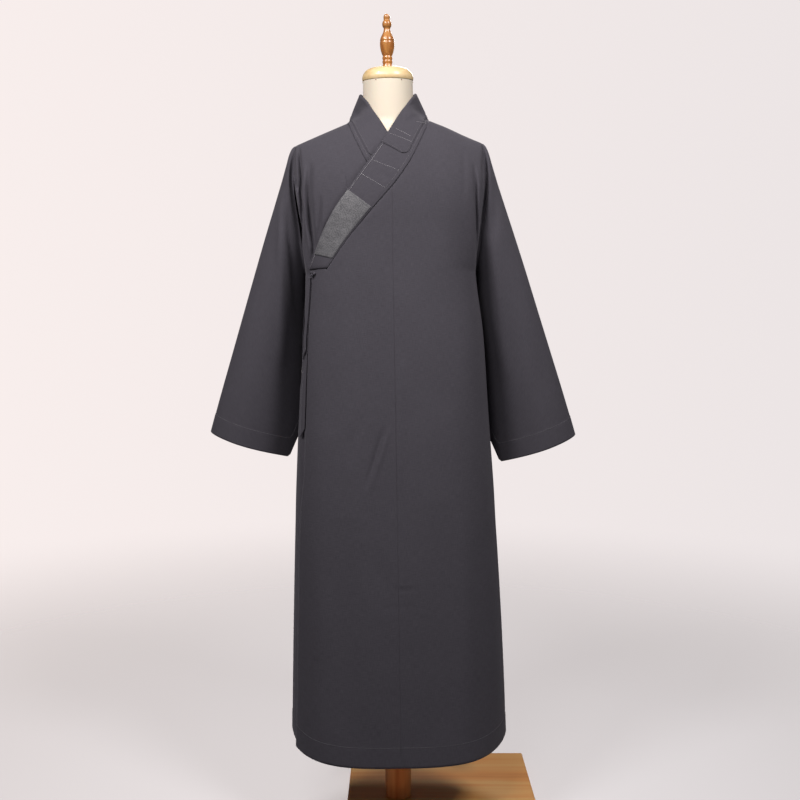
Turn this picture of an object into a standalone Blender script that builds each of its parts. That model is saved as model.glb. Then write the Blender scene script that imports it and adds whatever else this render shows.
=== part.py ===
"""A Buddhist monk's long robe with a crossed collar, worn by a limbless dress form.

Metres, +Z up. The wearer's front faces -Y and the wearer's left side is +X.
The origin is the foot of the form's pole, on the underside of the base plate.
The pole, form and robe lean a little towards -X: their pieces are drawn upright
and hang from one leaning empty. Only the base plate is level.
"""
import math
from collections import namedtuple

import bmesh
import bpy
from mathutils import Vector

# Cloth
CLOTH = 0.002          # wall of a robe panel
OVERLAY = 0.001        # wall of a piece sewn on top of the collar
SEAM = 0.0003          # clearance of a cloth edge at a seam
JOIN = 0.0008          # the same where the cloth turns sharply at the seam
LAYER = 0.0045         # how far the upper front lies outside the lower front

# Main levels of the robe, above the floor
HEM_Z = 0.182
SLIT_Z = 0.700
ARMPIT_Z = 1.200
CHEST_Z = 1.290
SHOULDER_X = 0.200
SHOULDER_Z = 1.4744
NECK_X = 0.086
NECK_Z = 1.5198
ARMHOLE_DEPTH = 0.042  # half depth of the armhole at the chest line
ROUNDNESS = 2.8        # exponent of the body's oval sections
EDGE_REACH = 4.0       # how sharply the armhole's depth fades towards the middle
YOKE = 0.25            # length of cloth from the shoulder line to the chest line
ARM_V = 0.36           # a level of cloth just below the armpit
HEM_V = YOKE + CHEST_Z - HEM_Z
HEM_RISE = 0.018       # the hem is cut this much higher at the side slits
LAP_HEM_RISE = 0.034   # and this much at the lap's side
NECK_DRAW = 0.004      # share by which a front keeps clear of the collar beside the neck
SLIT_INSET = 0.018     # share by which a front's edge draws back along a side slit
LAP_DRIFT = 0.055      # share by which the lap's free edge runs outward towards the hem
LAP_SIDE_IN = 0.003    # the side under the lap hangs this much nearer the middle
LAP_HEM_IN = 0.005     # and this much more at its hem

BodyLevel = namedtuple("BodyLevel", "z half_width front back")
BODY = (
    BodyLevel(z=0.182, half_width=0.2415, front=0.200, back=0.186),
    BodyLevel(z=0.289, half_width=0.2385, front=0.194, back=0.180),
    BodyLevel(z=0.472, half_width=0.2315, front=0.184, back=0.171),
    BodyLevel(z=0.695, half_width=0.2210, front=0.170, back=0.158),
    BodyLevel(z=0.905, half_width=0.2080, front=0.156, back=0.144),
    BodyLevel(z=1.065, half_width=0.1985, front=0.145, back=0.133),
    BodyLevel(z=1.200, half_width=0.1840, front=0.135, back=0.122),
    BodyLevel(z=1.290, half_width=0.1920, front=0.130, back=0.116),
    BodyLevel(z=1.380, half_width=0.2030, front=0.130, back=0.116),
    BodyLevel(z=1.475, half_width=0.2000, front=0.130, back=0.116),
)

# The collar band, from the tip under the wearer's right arm up to the side of the neck.
# seam: where the band joins the front. edge: its free edge. Without an edge_y the edge
# lies on the front; with one it stands up round the neck.
CollarRow = namedtuple("CollarRow", "seam_x seam_z edge_x edge_z edge_y")
COLLAR = (
    CollarRow(-0.1301, 1.2010, -0.1668, 1.2010, None),
    CollarRow(-0.1159, 1.2208, -0.1549, 1.2317, None),
    CollarRow(-0.0898, 1.2575, -0.1355, 1.2790, None),
    CollarRow(-0.0640, 1.2890, -0.1100, 1.3245, None),
    CollarRow(-0.0356, 1.3223, -0.0840, 1.3600, None),
    CollarRow(0.0061, 1.3690, -0.0530, 1.4030, None),
    CollarRow(0.0247, 1.3931, -0.0360, 1.4253, None),
    CollarRow(0.0463, 1.4270, -0.0115, 1.4620, None),
    CollarRow(0.0600, 1.4560, 0.0065, 1.4935, -0.0810),
    CollarRow(0.0700, 1.4790, 0.0200, 1.5175, -0.0660),
    CollarRow(0.0775, 1.4990, 0.0330, 1.5385, -0.0520),
    CollarRow(0.0830, 1.5125, 0.0470, 1.5620, -0.0345),
    CollarRow(0.0850, 1.5165, 0.0560, 1.5740, -0.0180),
    CollarRow(NECK_X, NECK_Z, 0.0588, 1.5830, 0.0000),
)
CENTRE_ROW = 5         # the row of COLLAR at the centre-front seam
UNDER_END_ROW = 2      # the lower band stops here, out of sight
BROCADE_ROWS = (1, 4)
GUARD_END_ROW = 7

# The band round the back of the neck, from its side to its centre.
BackCollarRow = namedtuple("BackCollarRow", "seam_x seam_z edge_turn edge_z")
BACK_COLLAR = (
    BackCollarRow(NECK_X, NECK_Z, 0.0, 1.5830),
    BackCollarRow(0.0835, 1.5175, 9.0, 1.5840),
    BackCollarRow(0.0770, 1.5140, 22.0, 1.5852),
    BackCollarRow(0.0640, 1.5095, 42.0, 1.5870),
    BackCollarRow(0.0350, 1.5060, 66.0, 1.5885),
    BackCollarRow(0.0000, 1.5050, 90.0, 1.5890),
)
COLLAR_TOP_RADIUS = 0.0588
COLLAR_JOIN = 0.0013   # each of the collar's solids stops this far short of the neck's side
BAND_ACROSS = (0.0, 0.08, 0.20, 0.48, 0.76, 1.0)   # lines across the band, seam to edge
TIP_LIFT = 0.003       # the band's tip stands this much more off the body
GUARD_ACROSS = (2, 5)
BROCADE_ACROSS = (0, 5)

# Columns of the panels between the collar and the sides, as shares of the half width
SIDE_COLUMNS = (0.52, 0.62, 0.72, 0.81, 0.885, 0.945, 0.98, 0.995, 1.0)
LAP_COLUMNS = (-0.862, -0.835, -0.795, -0.745)
# Rows of a panel: shares of the way from its top to the armpit level, then to the hem
YOKE_ROWS = (0.0, 0.02, 0.06, 0.125, 0.21, 0.305, 0.415, 0.54, 0.69, 0.79, 0.865, 0.91, 0.945, 1.0)
LAP_ROWS = (0.0, 0.12, 0.30, 0.50, 0.70, 0.87, 1.0)
SKIRT_ROWS = (0.06, 0.16, 0.30, 0.46, 0.64, 0.82, 1.0)

# Sleeve sections from armhole to cuff: the outer fold, the underarm, the half depth,
# and where along the section it is deepest.
SleeveRing = namedtuple("SleeveRing", "outer_x outer_z inner_z inner_gap depth middle")
SLEEVE = (
    SleeveRing(0.2003, 1.4743, 1.2000, 0.0003, 0.0420, 0.672),
    SleeveRing(0.2050, 1.4722, 1.1985, 0.0022, 0.0450, 0.664),
    SleeveRing(0.2105, 1.4660, 1.1940, 0.0030, 0.0500, 0.640),
    SleeveRing(0.2160, 1.4530, 1.1850, 0.0030, 0.0555, 0.612),
    SleeveRing(0.2225, 1.4300, 1.1700, 0.0028, 0.0600, 0.582),
    SleeveRing(0.2345, 1.3900, 1.1430, 0.0026, 0.0630, 0.552),
    SleeveRing(0.2515, 1.3370, 1.1080, 0.0024, 0.0635, 0.525),
    SleeveRing(0.2735, 1.2690, 1.0640, 0.0022, 0.0615, 0.500),
    SleeveRing(0.2972, 1.1930, 1.0180, 0.0022, 0.0590, 0.480),
    SleeveRing(0.3220, 1.1120, 0.9700, 0.0022, 0.0570, 0.465),
    SleeveRing(0.3470, 1.0305, 0.9260, 0.0022, 0.0555, 0.455),
    SleeveRing(0.3700, 0.9560, 0.8880, 0.0026, 0.0545, 0.450),
    SleeveRing(0.3880, 0.8960, 0.8590, 0.0036, 0.0540, 0.445),
    SleeveRing(0.4015, 0.8490, 0.8340, 0.0050, 0.0540, 0.445),
)
SLEEVE_HALF_TURN = 11  # spaces between the outer fold and the underarm, on each face
HUG_RINGS = 7          # over these rings a section changes from the armhole's line to its own
UNDERARM_BACK = 0.030  # the underarm seam hangs this far behind the body's side
UNDERARM_RINGS = 6     # and comes there over these rings
INNER_FALL = 1.5       # above 1, the face falls more evenly from its deepest to the underarm
CUFF_DIP = 0.047       # how far the underarm seam hangs below the rest of the cuff
CUFF_DIP_AT = 0.90     # where along the section that is
CUFF_DIP_FROM = 5      # the first ring that dips
CUFF_TILT = 0.009      # the wearer's right cuff hangs this much higher, the left this much lower

# Ties
STRAP_HALF_K = 0.025      # the straps are 18 mm wide, and turn with the robe's side
STRAP_THICK = 0.002
STRAP_LIFT = 0.0008
KNOT_HALF = (0.0075, 0.0055, 0.0065)
KNOT_K = -0.838
KNOT_REST = 0.0066        # the knot's middle above the lap's cloth
KNOT_Z = 1.191
STRAP_TOP_K = -0.896
STRAP_BOTTOM_K = -0.904
STRAP_TOP_Z = 1.186
STRAP_STEP = 0.0272    # length of cloth between two lines of points
LONG_STEPS = 12
SHORT_STEPS = 6

# Dress form and stand
LEAN = math.radians(0.83)
FORM_GAP = 0.0004      # the shoulders carry the robe at this distance
FORM_INSET = 0.012     # the form's half width and depth, inside the robe's
NECK_EASE = 0.006      # the shoulders drop this much more, clear of the neckline
TorsoLevel = namedtuple("TorsoLevel", "z half_width front back")
TORSO = (
    TorsoLevel(z=0.740, half_width=0.150, front=0.102, back=0.106),
    TorsoLevel(z=0.860, half_width=0.162, front=0.112, back=0.116),
    TorsoLevel(z=1.000, half_width=0.150, front=0.104, back=0.100),
    TorsoLevel(z=1.120, half_width=0.154, front=0.110, back=0.100),
    TorsoLevel(z=1.200, half_width=0.166, front=0.116, back=0.104),
    TorsoLevel(z=1.290, half_width=0.178, front=0.118, back=0.104),
)
TORSO_COLUMNS = 15
TORSO_YOKE_ROWS = 8
TORSO_ROWS = 8
NECK_RADIUS = 0.0535
NECK_FOOT_RADIUS = 0.056
NECK_FOOT_Z = 1.440
NECK_TOP_Z = 1.6085
HEAD_TILT = math.radians(8.0)
POLE_RADIUS = 0.0295
PLATE_SIDE = 0.422
PLATE_THICK = 0.025
PLATE_CENTRE = (0.096, -0.004)
PLATE_EDGE = 0.003
ROUND_STEPS = 28

TurnedPoint = namedtuple("TurnedPoint", "radius z")
CAP = (
    TurnedPoint(0.0000, 1.6360),
    TurnedPoint(0.0330, 1.6360),
    TurnedPoint(0.0420, 1.6335),
    TurnedPoint(0.0500, 1.6280),
    TurnedPoint(0.0545, 1.6200),
    TurnedPoint(0.0550, 1.6140),
    TurnedPoint(0.0545, 1.6090),
    TurnedPoint(0.0000, 1.6090),
)
FINIAL = (
    TurnedPoint(0.0000, 1.7450),
    TurnedPoint(0.0050, 1.7435),
    TurnedPoint(0.0072, 1.7390),
    TurnedPoint(0.0066, 1.7330),
    TurnedPoint(0.0088, 1.7290),
    TurnedPoint(0.0100, 1.7240),
    TurnedPoint(0.0088, 1.7195),
    TurnedPoint(0.0068, 1.7150),
    TurnedPoint(0.0090, 1.7080),
    TurnedPoint(0.0130, 1.6990),
    TurnedPoint(0.0155, 1.6880),
    TurnedPoint(0.0152, 1.6800),
    TurnedPoint(0.0125, 1.6690),
    TurnedPoint(0.0095, 1.6600),
    TurnedPoint(0.0108, 1.6560),
    TurnedPoint(0.0095, 1.6520),
    TurnedPoint(0.0108, 1.6480),
    TurnedPoint(0.0095, 1.6440),
    TurnedPoint(0.0118, 1.6363),
    TurnedPoint(0.0000, 1.6363),
)

ROBE_GREY = (0.085, 0.083, 0.090)
BROCADE_GREY = (0.170, 0.178, 0.185)
FORM_CREAM = (0.93, 0.84, 0.70)
CAP_WOOD = (0.72, 0.48, 0.24)
FINIAL_WOOD = (0.50, 0.25, 0.09)
POLE_WOOD = (0.30, 0.10, 0.04)
PLATE_WOOD = (0.46, 0.24, 0.08)


def smooth_step(share):
    share = min(1.0, max(0.0, share))
    return share * share * (3.0 - 2.0 * share)


def column_at(rows, column, z):
    """A smooth curve through one column of a table of levels, read at height z."""
    heights = [row.z for row in rows]
    values = [getattr(row, column) for row in rows]
    last = len(rows) - 1
    z = min(max(z, heights[0]), heights[last])
    i = 0
    while i < last - 1 and z > heights[i + 1]:
        i += 1
    step = heights[i + 1] - heights[i]
    slope = (values[i + 1] - values[i]) / step
    before = max(i - 1, 0)
    after = min(i + 2, last)
    start_slope = (values[i + 1] - values[before]) / (heights[i + 1] - heights[before])
    end_slope = (values[after] - values[i]) / (heights[after] - heights[i])
    share = (z - heights[i]) / step
    value = values[i] + slope * step * share
    value += share * (1 - share) ** 2 * step * (start_slope - slope)
    value -= share * share * (1 - share) * step * (end_slope - slope)
    return value


def shoulder_line(x):
    """Height of the shoulder fold at x."""
    slope = (NECK_Z - SHOULDER_Z) / (SHOULDER_X - NECK_X)
    return SHOULDER_Z + slope * (SHOULDER_X - abs(x))


def half_width(z, side=1):
    """Half width of the robe's body. side: the sign of x."""
    width = column_at(BODY, "half_width", z)
    if side < 0:
        width -= LAP_SIDE_IN * smooth_step((ARMPIT_Z - z) / 0.2)
        width -= LAP_HEM_IN * smooth_step((ARMPIT_Z - z) / 1.0)
    return width


def fullness(k):
    """How far a section has swelled at the share k of its half width."""
    return (1.0 - min(1.0, abs(k)) ** ROUNDNESS) ** (1.0 / ROUNDNESS)


def section_depth(k, deepest, edge):
    """Depth of a section at the share k: oval, but edge deep at its very side."""
    swell = fullness(k)
    return deepest * swell + edge * (1.0 - swell) * abs(k) ** EDGE_REACH


def armhole_depth(z):
    """Half depth of the armhole below the chest line; it closes at the armpit."""
    if z <= ARMPIT_Z:
        return 0.0
    drop = (CHEST_Z - z) / (CHEST_Z - ARMPIT_Z)
    return ARMHOLE_DEPTH * math.sqrt(max(0.0, 1.0 - drop * drop))


def body_point(face, k, v):
    """A point of the hanging robe. face: -1 front, +1 back. k: share of the half width.
    v: metres of cloth down from the shoulder fold."""
    side = "front" if face < 0 else "back"
    if v < YOKE:
        roll = v / YOKE * math.pi / 2
        edge_z = CHEST_Z + (SHOULDER_Z - CHEST_Z) * math.cos(roll)
        x = k * half_width(edge_z)
        z = CHEST_Z + (shoulder_line(x) - CHEST_Z) * math.cos(roll)
        y = section_depth(k, column_at(BODY, side, CHEST_Z), ARMHOLE_DEPTH) * math.sin(roll)
    else:
        z = CHEST_Z + YOKE - v
        x = k * half_width(z, k)
        y = section_depth(k, column_at(BODY, side, z), armhole_depth(z))
    return Vector((x, face * (y + SEAM), z))


def cloth_place(x, z):
    """The (k, v) of the body point with this x and z."""
    if z <= CHEST_Z:
        return x / half_width(z, x), YOKE + CHEST_Z - z
    rise = (z - CHEST_Z) / (shoulder_line(x) - CHEST_Z)
    roll = math.acos(min(1.0, rise))
    edge_z = CHEST_Z + (SHOULDER_Z - CHEST_Z) * math.cos(roll)
    return x / half_width(edge_z), roll / (math.pi / 2) * YOKE


def body_normal(face, k, v):
    """The outward direction of the robe at a place."""
    step = 0.004
    inner_k = max(-0.97, min(0.97, k))
    lower_v = max(v, step)
    across = body_point(face, inner_k + step, lower_v) - body_point(face, inner_k - step, lower_v)
    down = body_point(face, inner_k, lower_v + step) - body_point(face, inner_k, lower_v - step)
    normal = across.cross(down).normalized()
    if normal.y * face < 0:
        normal.negate()
    return normal


def lifted(face, k, v, lift):
    return body_point(face, k, v) + body_normal(face, k, v) * lift


def upper_front_lift(k, v):
    """The upper front lies a layer out, and comes down to the back's level at its sewn side."""
    return LAYER * (1.0 - smooth_step((k - 0.55) / 0.37)) * smooth_step(v / 0.05)


SEAM_PLACES = tuple(cloth_place(row.seam_x, row.seam_z) for row in COLLAR)
BACK_PLACES = tuple(cloth_place(row.seam_x, row.seam_z) for row in BACK_COLLAR)


def collection(name):
    group = bpy.data.collections.new(name)
    bpy.context.scene.collection.children.link(group)
    return group


def material(name, colour, roughness):
    finish = bpy.data.materials.new(name)
    finish.use_nodes = True
    shader = finish.node_tree.nodes["Principled BSDF"]
    shader.inputs["Base Color"].default_value = (*colour, 1.0)
    shader.inputs["Roughness"].default_value = roughness
    shader.inputs["Metallic"].default_value = 0.0
    finish.diffuse_color = (*colour, 1.0)
    return finish


def add_piece(name, mesh_edit, colour, roughness, group):
    """One named object with its own material, from an edited mesh."""
    mesh = bpy.data.meshes.new(name)
    mesh_edit.to_mesh(mesh)
    mesh_edit.free()
    mesh.shade_smooth()
    mesh.set_sharp_from_angle(angle=math.radians(50))
    piece = bpy.data.objects.new(name, mesh)
    group.objects.link(piece)
    mesh.materials.append(material(name, colour, roughness))
    return piece


def shaped_grid(points, outward):
    """A grid whose vertices are moved to rows of points, its faces turned outward."""
    edit = bmesh.new()
    columns = len(points[0])
    bmesh.ops.create_grid(edit, x_segments=columns - 1, y_segments=len(points) - 1, size=1.0)
    edit.verts.ensure_lookup_table()
    for index, vertex in enumerate(edit.verts):
        vertex.co = points[index // columns][index % columns]
    edit.normal_update()
    agreement = sum(face.normal.dot(outward(face.calc_center_median())) for face in edit.faces)
    if agreement < 0:
        bmesh.ops.reverse_faces(edit, faces=edit.faces)
    return edit


def cloth_piece(name, points, wall, group, colour=ROBE_GREY, outward=None, closed=False):
    """A sheet through the points, with its wall thickness added on the inside."""
    if outward is None:
        def outward(centre):
            return Vector((centre.x, centre.y, 0.0))
    edit = shaped_grid(points, outward)
    if closed:
        bmesh.ops.remove_doubles(edit, verts=edit.verts, dist=0.00005)
    piece = add_piece(name, edit, colour, 0.85, group)
    wall_thickness = piece.modifiers.new("wall", "SOLIDIFY")
    wall_thickness.thickness = wall
    wall_thickness.offset = -1.0
    return piece


def hem_v(k):
    """Metres of cloth from the shoulder fold to the hem; the sides are cut shorter."""
    rise = LAP_HEM_RISE if k < 0 else HEM_RISE
    return HEM_V - rise * abs(k) ** 6


def panel_points(face, columns, tops, lift, edge_run=0.0, yoke_rows=YOKE_ROWS):
    """Rows of points down a panel. tops: where each column starts, in metres of cloth.
    edge_run: share by which its side edge runs outward below the top of the slit."""
    rows = []
    for share in [*yoke_rows, *[1.0 + row for row in SKIRT_ROWS]]:
        row = []
        for k, top in zip(columns, tops):
            if share <= 1.0:
                v = top + (ARM_V - top) * share
            else:
                v = ARM_V + (hem_v(k) - ARM_V) * (share - 1.0)
            opened = smooth_step((SLIT_Z + 0.1 - body_point(face, k, v).z) / 0.15)
            run = edge_run * opened * smooth_step((abs(k) - 0.55) / 0.4)
            row.append(lifted(face, k * (1.0 + run), v, lift(k, v)))
        rows.append(row)
    return rows


def drawn_from_neck(k):
    """Moves a panel's column clear of the collar, where the seam runs almost straight down."""
    return k + NECK_DRAW * smooth_step((k - 0.2) / 0.2)


def upper_front(group):
    """The wearer's left front and the lap sewn to it at the centre-front seam."""
    gap_k = JOIN / half_width(CHEST_Z)
    body_columns = [drawn_from_neck(k) for k, v in SEAM_PLACES[CENTRE_ROW:]]
    body_tops = [v + JOIN for k, v in SEAM_PLACES[CENTRE_ROW:]]
    body_columns[0] += gap_k
    body_columns += SIDE_COLUMNS
    body_tops += [0.0] * len(SIDE_COLUMNS)
    points = panel_points(-1, body_columns, body_tops, upper_front_lift, -SLIT_INSET)
    cloth_piece("front_left", points, CLOTH, group)

    lap_columns = [k for k, v in SEAM_PLACES[:CENTRE_ROW + 1]]
    lap_tops = [v + JOIN for k, v in SEAM_PLACES[:CENTRE_ROW + 1]]
    lap_columns[-1] -= gap_k
    under_arm = YOKE + CHEST_Z - ARMPIT_Z
    lap_columns = list(LAP_COLUMNS) + lap_columns
    lap_tops = [under_arm] * len(LAP_COLUMNS) + lap_tops
    points = panel_points(-1, lap_columns, lap_tops, upper_front_lift, LAP_DRIFT, LAP_ROWS)
    cloth_piece("front_lap", points, CLOTH, group)


def lower_front(group):
    """The wearer's right front, which passes under the lap to its own free edge."""
    columns = [-k for k in reversed(SIDE_COLUMNS)]
    tops = [0.0] * len(SIDE_COLUMNS)
    for k, v in reversed(SEAM_PLACES[UNDER_END_ROW:]):
        columns.append(-drawn_from_neck(k))
        tops.append(v + JOIN)
    points = panel_points(-1, columns, tops, lambda k, v: 0.0, -SLIT_INSET)
    cloth_piece("front_right", points, CLOTH, group)


def backs(group):
    """Two backs, joined by the centre-back seam."""
    gap_k = JOIN / half_width(CHEST_Z)
    neck_columns = [k for k, v in reversed(BACK_PLACES)]
    neck_tops = [v + JOIN for k, v in reversed(BACK_PLACES)]
    neck_columns[0] += gap_k
    columns = neck_columns + list(SIDE_COLUMNS)
    tops = neck_tops + [0.0] * len(SIDE_COLUMNS)
    for side, name in ((1, "back_left"), (-1, "back_right")):
        points = panel_points(1, [side * k for k in columns], tops, lambda k, v: 0.0)
        cloth_piece(name, points, CLOTH, group)


def section_turns():
    """Angles round a sleeve section from the outer fold, over the front, and back again.
    One of them falls on the underarm seam of the front face."""
    turns = [math.pi * i / SLEEVE_HALF_TURN for i in range(SLEEVE_HALF_TURN + 1)]
    seam_turn = math.acos(1.0 - 2.0 * CUFF_DIP_AT)
    nearest = min(range(1, SLEEVE_HALF_TURN), key=lambda i: abs(turns[i] - seam_turn))
    front = list(turns)
    front[nearest] = seam_turn
    return [(-1, turn) for turn in front] + [(1, turn) for turn in reversed(turns[:-1])]


def sleeve_point(side, number, face, turn):
    """A point of a sleeve's section: turn 0 is the outer fold, pi the underarm."""
    ring = SLEEVE[number]
    share = number / (len(SLEEVE) - 1)
    outer_z = ring.outer_z - side * CUFF_TILT * share ** 1.5
    inner_z = ring.inner_z - side * CUFF_TILT * share ** 1.5
    inner_x = half_width(inner_z, side) + ring.inner_gap
    if turn <= math.pi / 2:
        along = ring.middle * (1.0 - math.cos(turn))
    else:
        along = ring.middle - (1.0 - ring.middle) * math.cos(turn)
    z = outer_z + (inner_z - outer_z) * along
    straight_x = ring.outer_x + (inner_x - ring.outer_x) * along
    outer_gap = ring.outer_x - half_width(outer_z)
    hugging_x = half_width(z) + outer_gap + (ring.inner_gap - outer_gap) * along
    x = hugging_x + (straight_x - hugging_x) * smooth_step(number / HUG_RINGS)
    if face < 0:
        before = along / CUFF_DIP_AT
        after = (1.0 - along) / (1.0 - CUFF_DIP_AT)
        weight = max(0, number - CUFF_DIP_FROM) / (len(SLEEVE) - 1 - CUFF_DIP_FROM)
        z -= CUFF_DIP * weight ** 1.5 * max(0.0, min(before ** 0.85, after))
    fall = 1.0 if turn <= math.pi / 2 else 1.0 + (INNER_FALL - 1.0) * smooth_step((number - 1) / 4)
    y = face * ring.depth * abs(math.sin(turn)) ** fall
    y += UNDERARM_BACK * smooth_step(number / UNDERARM_RINGS) * smooth_step(along * 1.4 - 0.4)
    return Vector((side * x, y, z))


def sleeves(group):
    """Wide flat sleeves, each a tube from the armhole to the cuff."""
    for side, name in ((1, "sleeve_left"), (-1, "sleeve_right")):
        points = []
        for number in range(len(SLEEVE)):
            turns = section_turns()
            points.append([sleeve_point(side, number, face, turn) for face, turn in turns])

        def outward(centre):
            return Vector((0.0, centre.y, 0.0))
        cloth_piece(name, points, CLOTH, group, outward=outward, closed=True)


def front_band_line(row, mirrored):
    """Points across the band at one row of COLLAR, from its seam to its free edge."""
    flip = -1.0 if mirrored else 1.0
    edge_surface = body_point(-1, *cloth_place(row.edge_x, row.edge_z))
    standing = 0.0 if row.edge_y is None else row.edge_y - edge_surface.y
    line = []
    for share in BAND_ACROSS:
        x = row.seam_x + (row.edge_x - row.seam_x) * share
        z = row.seam_z + (row.edge_z - row.seam_z) * share
        y = body_point(-1, *cloth_place(x, z)).y + standing * share ** 1.5
        line.append(Vector((flip * x, y, z)))
    return line


def back_band_line(row, flip):
    """Points across the band behind the neck."""
    turn = math.radians(row.edge_turn)
    seam = body_point(1, *cloth_place(row.seam_x, row.seam_z))
    edge_x = COLLAR_TOP_RADIUS * math.cos(turn)
    edge_y = COLLAR_TOP_RADIUS * math.sin(turn)
    edge = Vector((edge_x, edge_y, row.edge_z))
    line = []
    for share in BAND_ACROSS:
        point = seam.lerp(edge, share)
        line.append(Vector((flip * point.x, point.y, point.z)))
    return line


def band_lines():
    """The whole band: up the upper front, round the neck, down the lower front."""
    over = [front_band_line(row, False) for row in COLLAR]
    to_centre = [back_band_line(row, 1.0) for row in BACK_COLLAR]
    from_centre = [back_band_line(row, -1.0) for row in reversed(BACK_COLLAR[:-1])]
    under = [front_band_line(row, True) for row in reversed(COLLAR[UNDER_END_ROW:])]
    return over, to_centre + from_centre, under


def lifted_lines(lines, lift):
    """The band's lines moved out along the band's own normals. lift: metres for each line."""
    moved = []
    last = len(lines) - 1
    for i, line in enumerate(lines):
        row = []
        for j, point in enumerate(line):
            along = lines[min(i + 1, last)][j] - lines[max(i - 1, 0)][j]
            across = line[min(j + 1, len(line) - 1)] - line[max(j - 1, 0)]
            normal = along.cross(across).normalized()
            if normal.dot(Vector((point.x, point.y, 0.02))) < 0:
                normal.negate()
            row.append(point + normal * lift(i))
        moved.append(row)
    return moved


def ended(lines, first, last):
    """Draws a run of lines in a little at its first or last line."""
    run = [list(line) for line in lines]
    if first:
        run[0] = [p + (q - p).normalized() * COLLAR_JOIN for p, q in zip(run[0], run[1])]
    if last:
        run[-1] = [p + (q - p).normalized() * COLLAR_JOIN for p, q in zip(run[-1], run[-2])]
    return run


def collar(group):
    """One long band in three solids, a guard over it round the neck, and a brocade patch."""
    over, back, under = band_lines()
    whole = over + back[1:] + under[1:]
    neck_row = len(over) - 1

    def layer(i):
        """The upper side of the band lies a layer out; round the neck it comes back in."""
        return LAYER * smooth_step((neck_row - i) / 4.0) + TIP_LIFT * smooth_step((2 - i) / 2.0)
    lines = lifted_lines(whole, layer)
    second_join = neck_row + len(back) - 1
    runs = (
        ("collar_over", ended(lines[:neck_row + 1], False, True)),
        ("collar_back", ended(lines[neck_row:second_join + 1], True, True)),
        ("collar_under", ended(lines[second_join:], True, False)),
    )
    for name, run in runs:
        cloth_piece(name, run, CLOTH, group)

    def overlay(name, rows, across, colour):
        lift = SEAM + OVERLAY
        raised = lifted_lines(whole, lambda i: layer(i) + lift)
        low, high = across
        patch = [line[low:high + 1] for line in raised[rows[0]:rows[1] + 1]]
        cloth_piece(name, patch, OVERLAY, group, colour)
    under_guard_end = len(whole) - 1 - (GUARD_END_ROW - UNDER_END_ROW)
    overlay("collar_guard", (GUARD_END_ROW, under_guard_end), GUARD_ACROSS, ROBE_GREY)
    overlay("brocade_patch", BROCADE_ROWS, BROCADE_ACROSS, BROCADE_GREY)


def ties(group):
    """A pair of cloth ties knotted at the collar's tip. They hang down the side, just
    beyond the lap's free edge, the shorter one on the longer."""
    knot_v = YOKE + CHEST_Z - KNOT_Z
    centre = lifted(-1, KNOT_K, knot_v, LAYER + KNOT_REST)
    edit = bmesh.new()
    bmesh.ops.create_uvsphere(edit, u_segments=12, v_segments=8, radius=1.0)
    bmesh.ops.scale(edit, vec=KNOT_HALF, verts=edit.verts)
    bmesh.ops.translate(edit, vec=centre, verts=edit.verts)
    add_piece("tie_knot", edit, ROBE_GREY, 0.8, group)
    low = STRAP_LIFT + STRAP_THICK
    straps = (("tie_strap_long", LONG_STEPS, low), ("tie_strap_short", SHORT_STEPS, 2 * low))
    for name, steps, lift in straps:
        points = []
        for i in range(steps + 1):
            z = STRAP_TOP_Z - i * STRAP_STEP
            middle_k = STRAP_TOP_K + (STRAP_BOTTOM_K - STRAP_TOP_K) * i / LONG_STEPS
            line = []
            for place_k in (middle_k - STRAP_HALF_K, middle_k, middle_k + STRAP_HALF_K):
                line.append(lifted(-1, place_k, YOKE + CHEST_Z - z, lift))
            points.append(line)
        cloth_piece(name, points, STRAP_THICK, group)


def torso_point(face, k, v):
    """A point of the form. Its shoulders run along the robe's, just inside."""
    side = "front" if face < 0 else "back"
    slope = math.atan((NECK_Z - SHOULDER_Z) / (SHOULDER_X - NECK_X))
    crest_drop = (CLOTH + FORM_GAP) / math.cos(slope)
    crest_drop += NECK_EASE * smooth_step((NECK_X + 0.03 - abs(k) * SHOULDER_X) / 0.03)
    plate_depth = ARMHOLE_DEPTH - FORM_INSET
    if v < YOKE:
        roll = v / YOKE * math.pi / 2
        edge_z = CHEST_Z + (SHOULDER_Z - CHEST_Z) * math.cos(roll)
        inset = half_width(CHEST_Z) - column_at(TORSO, "half_width", CHEST_Z)
        x = k * (half_width(edge_z) - inset)
        z = CHEST_Z + (shoulder_line(x) - crest_drop - CHEST_Z) * math.cos(roll)
        y = section_depth(k, column_at(TORSO, side, CHEST_Z), plate_depth) * math.sin(roll)
    else:
        z = CHEST_Z + YOKE - v
        x = k * column_at(TORSO, "half_width", z)
        edge = plate_depth * armhole_depth(z) / ARMHOLE_DEPTH
        y = section_depth(k, column_at(TORSO, side, z), edge)
    return Vector((x, face * y, z))


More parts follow.
